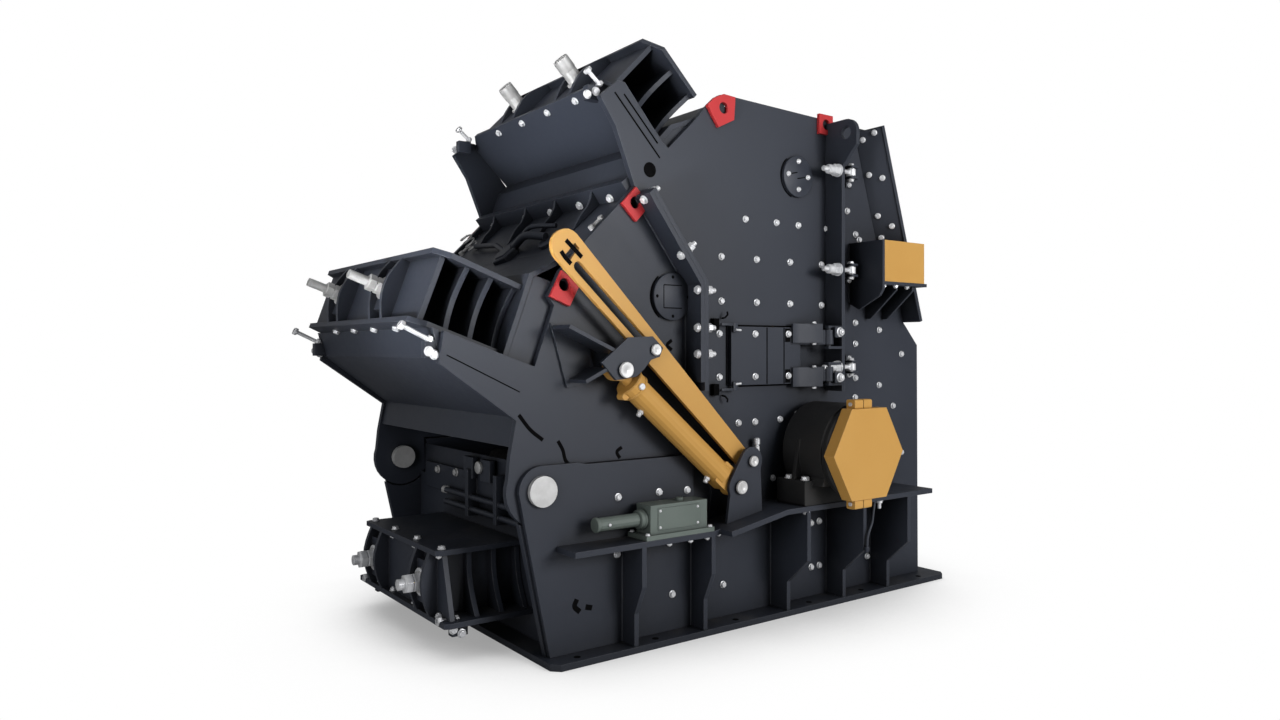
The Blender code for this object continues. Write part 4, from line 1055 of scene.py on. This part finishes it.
def onLifter(way, across):
    # along the near lifting cylinder from its foot, and across it away from the stay
    foot, rod = np.array(lifter["foot"]), np.array(lifter["rod"])
    step = unit(rod - foot)
    x, z = foot + step * way + np.array([step[1], -step[0]]) * across
    return np.array([x, lifter["y"], z])


def addLifters():
    # ports, collars and foot block of the cylinders, and the ends of the four pins
    steel, paint = Heap(), Heap()
    y = lifter["y"]
    step = unit(onLifter(1, 0) - onLifter(0, 0))
    down = np.array([-step[2], 0, step[0]])
    port = [(0, 0.0125), (0.013, 0.0125), (0.015, 0.0095), (0.026, 0.0095), (0.028, 0.0075)]
    turned(steel, [onLifter(way, 0) + down * 0.045 for way in lifter["ports"]], down, port, 6)
    turned(steel, [onLifter(0.655, 0) - [0, 0.054, 0]], (0, -1, 0), knob(0.013, 0.008, 0.01, 0.011), 24)
    collar = [(0, 0.057), (0.001, 0.059), (0.007, 0.059), (0.008, 0.057)]
    turned(paint, [onLifter(way, 0) for way in (0.64, 0.672)], step, collar, 40)
    block = [onLifter(way, across)[[0, 2]] for way, across in lifter["block"]]
    plate(paint, eased(block, 0.01, 4), y - 0.034, y + 0.034)
    ear = [(onLifter(way, 0) + down * far)[[0, 2]] for way, far in lifter["ear"]]
    plate(paint, eased(ear, 0.008, 4), y - 0.02, y + 0.02)
    for heap in (steel, paint):
        heap.mirror()
    steel.piece("cylinder_fittings", "bolt_zinc", "cylinder_barrels")
    paint.piece("cylinder_rings", "yellow_paint", "cylinder_barrels")
    for name, body in (("lifting_pins", "rear_housing"), ("foot_pins", "frame")):
        heap = Heap()
        for spot, face, r in lifter[name]:
            places = bothSides(onWall([lifter[spot]], face))
            profile = [(0, r), (0.008, r), (0.0105, r - 0.0028), (0.0106, r * 0.3), (0.0096, r * 0.22)]
            turned(heap, places, outward(places), profile, 40)
        heap.piece(name, "pin_white", body)


addBearings()
addLifters()
print("bearings and lifting gear are on")

pump = {
    "y": -0.758,
    "axis": 0.5023,
    "under": [(-0.642, -0.8, 0.4077), (-0.537, -0.8, 0.4077), (-0.45, -0.8, 0.4077), (-0.382, -0.79, 0.4125)],
    "collars": [  # x, way along it, profile, points round
        (-0.735, -1, [(0, 0.04), (0.01, 0.04), (0.012, 0.036), (0.026, 0.036), (0.029, 0.03)], 32),
        (-0.955, 1, [(-0.0012, 0.0262), (0.001, 0.0285), (0.01, 0.0285), (0.012, 0.0265)], 28),
    ],
    "top": 0.4486,
    "screws": [(-0.752, -0.808), (-0.443, -0.808), (-0.752, -0.708), (-0.443, -0.708)],
}


def addPump():
    # screws, collars and cover of the hand pump, and the nuts under the shelf that holds it
    steel, paint = Heap(), Heap()
    y, z = pump["y"], pump["axis"]
    boltHeads(steel, [(x, across, pump["top"]) for x, across in pump["screws"]], (0, 0, 1), 0.0085)
    nuts(steel, bothSides(pump["under"]), (0, 0, -1), 0.011)
    for x, way, profile, around in pump["collars"]:
        turned(paint, [(x, y + 0.005, z)], (way, 0, 0), profile, around)
    turned(steel, [(-0.905, y - 0.0205, z)], (0, -1, 0), knob(0.006, 0.004, 0.005, 0.005), 12)
    face = y - 0.045
    brick(paint, (-0.7, face, 0.462), (-0.495, face - 0.003, 0.545), 0.002)
    places = [(x, face - 0.003, height) for x in (-0.69, -0.505) for height in (0.472, 0.535)]
    boltHeads(steel, places, (0, -1, 0), 0.0045)
    turned(paint, [(-0.56, y, 0.558)], (0, 0, 1), knob(0.016, 0.01, 0.012, 0.014), 24)
    steel.piece("pump_bolts", "bolt_zinc", "frame")
    paint.piece("pump_parts", "green_paint", "frame")


small = {
    "cheek": [(-0.807, 0.585), (-0.609, 0.586), (-0.465, 0.581), (-0.812, 0.367), (-0.543, 0.17)],
    "guard": [(0.577, -0.846), (0.642, -0.862), (0.686, -0.826), (0.745, -0.846)],
    "far": [(-0.339, 0.61), (0.083, 0.843), (0.19, 0.861), (0.039, 0.585), (0.152, 0.575), (0.613, 1.678)],
    "base": [-1.02, -0.66, -0.24, 0.2, 0.55, 0.98],
    "nipple": (-0.085, -0.7, 0.712),
    "nippleLook": [(0, 0.012), (0.024, 0.012), (0.026, 0.009), (0.031, 0.009),
                   (0.033, 0.0135), (0.056, 0.0135), (0.06, 0.007)],
    "line": [(0.47, -0.88, 0.4675), (0.456, -0.884, 0.42), (0.434, -0.895, 0.38),
             (0.412, -0.9005, 0.352), (0.398, -0.9005, 0.318), (0.393, -0.9005, 0.268)],
}


def addSmallBolts():
    heap = Heap()
    line = curved(small["line"], 5)  # the bearing's grease line down to its fitting on the rib
    tube(heap, line, 0.0065, 10)
    fitting = [(-0.016, 0.0085), (-0.012, 0.0115), (0.008, 0.0115), (0.01, 0.0085)]
    turned(heap, [line[-1]], (0, 0, 1), fitting, 6)
    heap.mirror()
    heap.piece("grease_lines", "dark_paint", "frame")
    heap = Heap()
    wallBolts(heap, small["cheek"], 0.6903, 0.0125)
    wallBolts(heap, small["far"], wallFace, 0.012)
    nuts(heap, [(x, y, 1.4497) for x, y in small["guard"]], (0, 0, -1), 0.0115)
    turned(heap, bothSides([small["nipple"]]), (0, 0, 1), small["nippleLook"], 20)
    heap.piece("small_bolts", "bolt_zinc", "frame")
    heap = Heap()
    places = bothSides([(x, -0.735, 0.0248) for x in small["base"]])
    turned(heap, places, (0, 0, 1), [(0, 0.013), (0.0008, 0.013)], 20)
    heap.piece("base_holes", "gap_and_shadow_dark", "frame")


slope = {
    "top": (-0.7, 1.765),
    "bend": (-0.95, 1.535),
    "gussets": [-0.421, -0.13, 0.136, 0.449],
    "gusset": [(-0.7145, 1.753), (-0.7545, 1.805), (-0.76, 1.772),
               (-0.776, 1.738), (-0.808, 1.702), (-0.85, 1.629)],
    "hexagon": (-0.934, -0.035, 1.55),
    "disc": (-0.885, -0.31, 1.595),
    "spring": (-0.842, 0.47, 1.636),
}


def addSlopeParts():
    # gussets behind the seam's flange, and the latch gear on the hinged housing's slope
    way = unit(np.array(slope["bend"]) - np.array(slope["top"]))
    out = np.array([way[1], 0, -way[0]])
    iron, steel = Heap(), Heap()
    for y in slope["gussets"]:
        plate(iron, slope["gusset"], y - 0.007, y + 0.007)
    hexagon, disc, spring = (np.array(slope[name]) for name in ("hexagon", "disc", "spring"))
    block = [(0, 0.068), (0.026, 0.068), (0.03, 0.063), (0.03, 0.05), (0.036, 0.046)]
    turned(iron, [hexagon], out, block, 6, 0.4)
    turned(iron, [disc], out, knob(0.05, 0.014, 0.018, 0.044), 36)
    a = hexagon + out * 0.026 + [0.03, -0.04, 0.03]
    b = disc + out * 0.03
    middle = (a + b) / 2
    tube(iron, curved([a, middle + out * 0.03, b], 8), 0.017, 16)
    beside = np.array([0.03, 0, 0.03])
    tube(iron, curved([a + beside, middle + out * 0.04 + beside, b + [0.05, 0, 0.05]], 8), 0.01, 12)
    c = hexagon + [0.06, 0.2, 0.06] + out * 0.022
    tube(iron, [hexagon + out * 0.02 + [0.02, 0.05, 0.02], c, c + [0.02, 0.25, 0.02]], 0.012, 14)
    turn = np.linspace(0, 2 * math.pi * 4, 96)[:, None]
    first, second = square([out])
    coil = spring + out * (0.006 + turn * 0.0032) + 0.027 * (np.cos(turn) * first + np.sin(turn) * second)
    tube(steel, coil, 0.0046, 8)
    for y in (-0.589, 0.589):
        ends = [(-0.862, y, 1.628), (-0.818, y, 1.668)]
        tube(steel, ends, 0.0075)
        turned(steel, ends, out, [(-0.014, 0.0125), (0.008, 0.0125), (0.01, 0.01)], 16)
    iron.piece("slope_gear", "dark_paint", "rear_housing", sharp=35)
    steel.piece("slope_springs", "grey_steel", "rear_housing")


inside = {
    "plate": (-1.046, -1.032, 0.5605, 0.7),
    "face": -1.0503,
    "bar": -1.085,
    "straps": [(0.04, 0.045, -1.0625, -1.088, 0.6, 0.69), (-0.12, 0.045, -1.0625, -1.088, 0.6, 0.69),
               (-0.24, 0.014, -1.0503, -1.105, 0.44, 0.64), (0.02, 0.014, -1.0503, -1.105, 0.44, 0.64)],
    "bolts": [(0.407, 0.595), (0.211, 0.602), (-0.3, 0.595), (-0.48, 0.595)],
    "low": [(0.407, 0.37), (-0.3, 0.37), (0.1, 0.37)],
}


def addInside():
    # what shows through the opening below the hinged housing: a bolted strip, a bar and its straps
    iron, steel = Heap(), Heap()
    x0, x1, z0, z1 = inside["plate"]
    face, bar = inside["face"], inside["bar"]
    brick(iron, (x0, -0.6, z0), (x1, 0.6, z1))
    brick(iron, (face, -0.56, z0 - 0.055), (-1.062, 0.56, z0 + 0.06))
    for y, half, start, end, low, high in inside["straps"]:
        brick(iron, (start, y - half, low), (end, y + half, high), 0.004)
    for z in (0.52, 0.468):
        tube(iron, [(bar, 0.275, z), (bar, -0.42, z)], 0.013, 16)
    turned(steel, [(bar, 0.275, 0.52)], (0, 1, 0), [(-0.012, 0.017), (0.012, 0.017), (0.015, 0.013)], 20)
    turned(steel, [(-1.0885, -0.075, 0.655)], (-1, 0, 0), knob(0.026, 0.01, 0.013, 0.022), 24)
    boltHeads(steel, [(-1.0623, y, z) for y, z in inside["bolts"]], (-1, 0, 0), 0.015)
    boltHeads(steel, [(-1.0502, y, z) for y, z in inside["low"]], (-1, 0, 0), 0.013)
    for side in (-1, 1):  # closes the lower box's ends behind its webs
        brick(iron, (-1.384, side * 0.322, 0.146), (-1.056, side * 0.329, 0.378))
    iron.piece("inside_bar", "dark_paint", "frame", sharp=35)
    steel.piece("inside_bolts", "grey_steel", "frame")


weld = {
    "radius": 0.0042,
    "pitch": 0.0065,
    "ribs": [-0.776, -0.434, 0.036, 0.393, 0.703],
    "frame": [[(-0.43, 0.431), (-0.09, 0.491), (0.88, 0.491)], [(0.398, 0.97), (0.398, 2.19)],
              [(-0.417, 0.98), (-0.417, 1.412), (-0.684, 1.766)], [(0.54, 1.372), (0.54, 1.65)]],
    "rear": [[(-0.457, 1.02), (-0.457, 1.412), (-0.716, 1.75)], [(-1.09, 1.227), (-0.9, 1.143)],
             [(-1.02, 1.027), (-0.935, 1.067)]],
}


def addWelds():
    # weld beads where plates stand on the wall; the radius swells once a ripple
    face = wallFace + 0.0005
    for name, body in (("frame", "frame"), ("rear", "rear_housing")):
        heap = Heap()
        lines = [(line, face) for line in weld[name]]
        for x in weld["ribs"] if name == "frame" else []:
            top = 0.405 if x < -0.38 else 0.465
            for way in (x - 0.0105, x + 0.0105):
                lines.append(([(way, 0.03), (way, top)], 0.6905 if x < -0.43 else face))
        for line, height in lines:
            line = np.array(line)
            length = np.concatenate([[0], np.cumsum(np.linalg.norm(np.diff(line, axis=0), axis=1))])
            at = np.arange(0, length[-1], weld["pitch"] / 2)
            x, z = np.interp(at, length, line[:, 0]), np.interp(at, length, line[:, 1])
            ripple = 0.1 * np.cos(np.arange(len(at)) * math.pi) + 0.08 * (rng.random(len(at)) - 0.5)
            for side in (-1, 1):
                way = np.stack([x, np.full(len(at), side * height), z], 1)
                tube(heap, way, weld["radius"] * (1 + ripple), 7)
        heap.piece("welds_" + name, "dark_paint", body, sharp=80)


addPump()
addSmallBolts()
addSlopeParts()
addInside()
addWelds()
print("pump, small bolts, slope gear and welds are on")
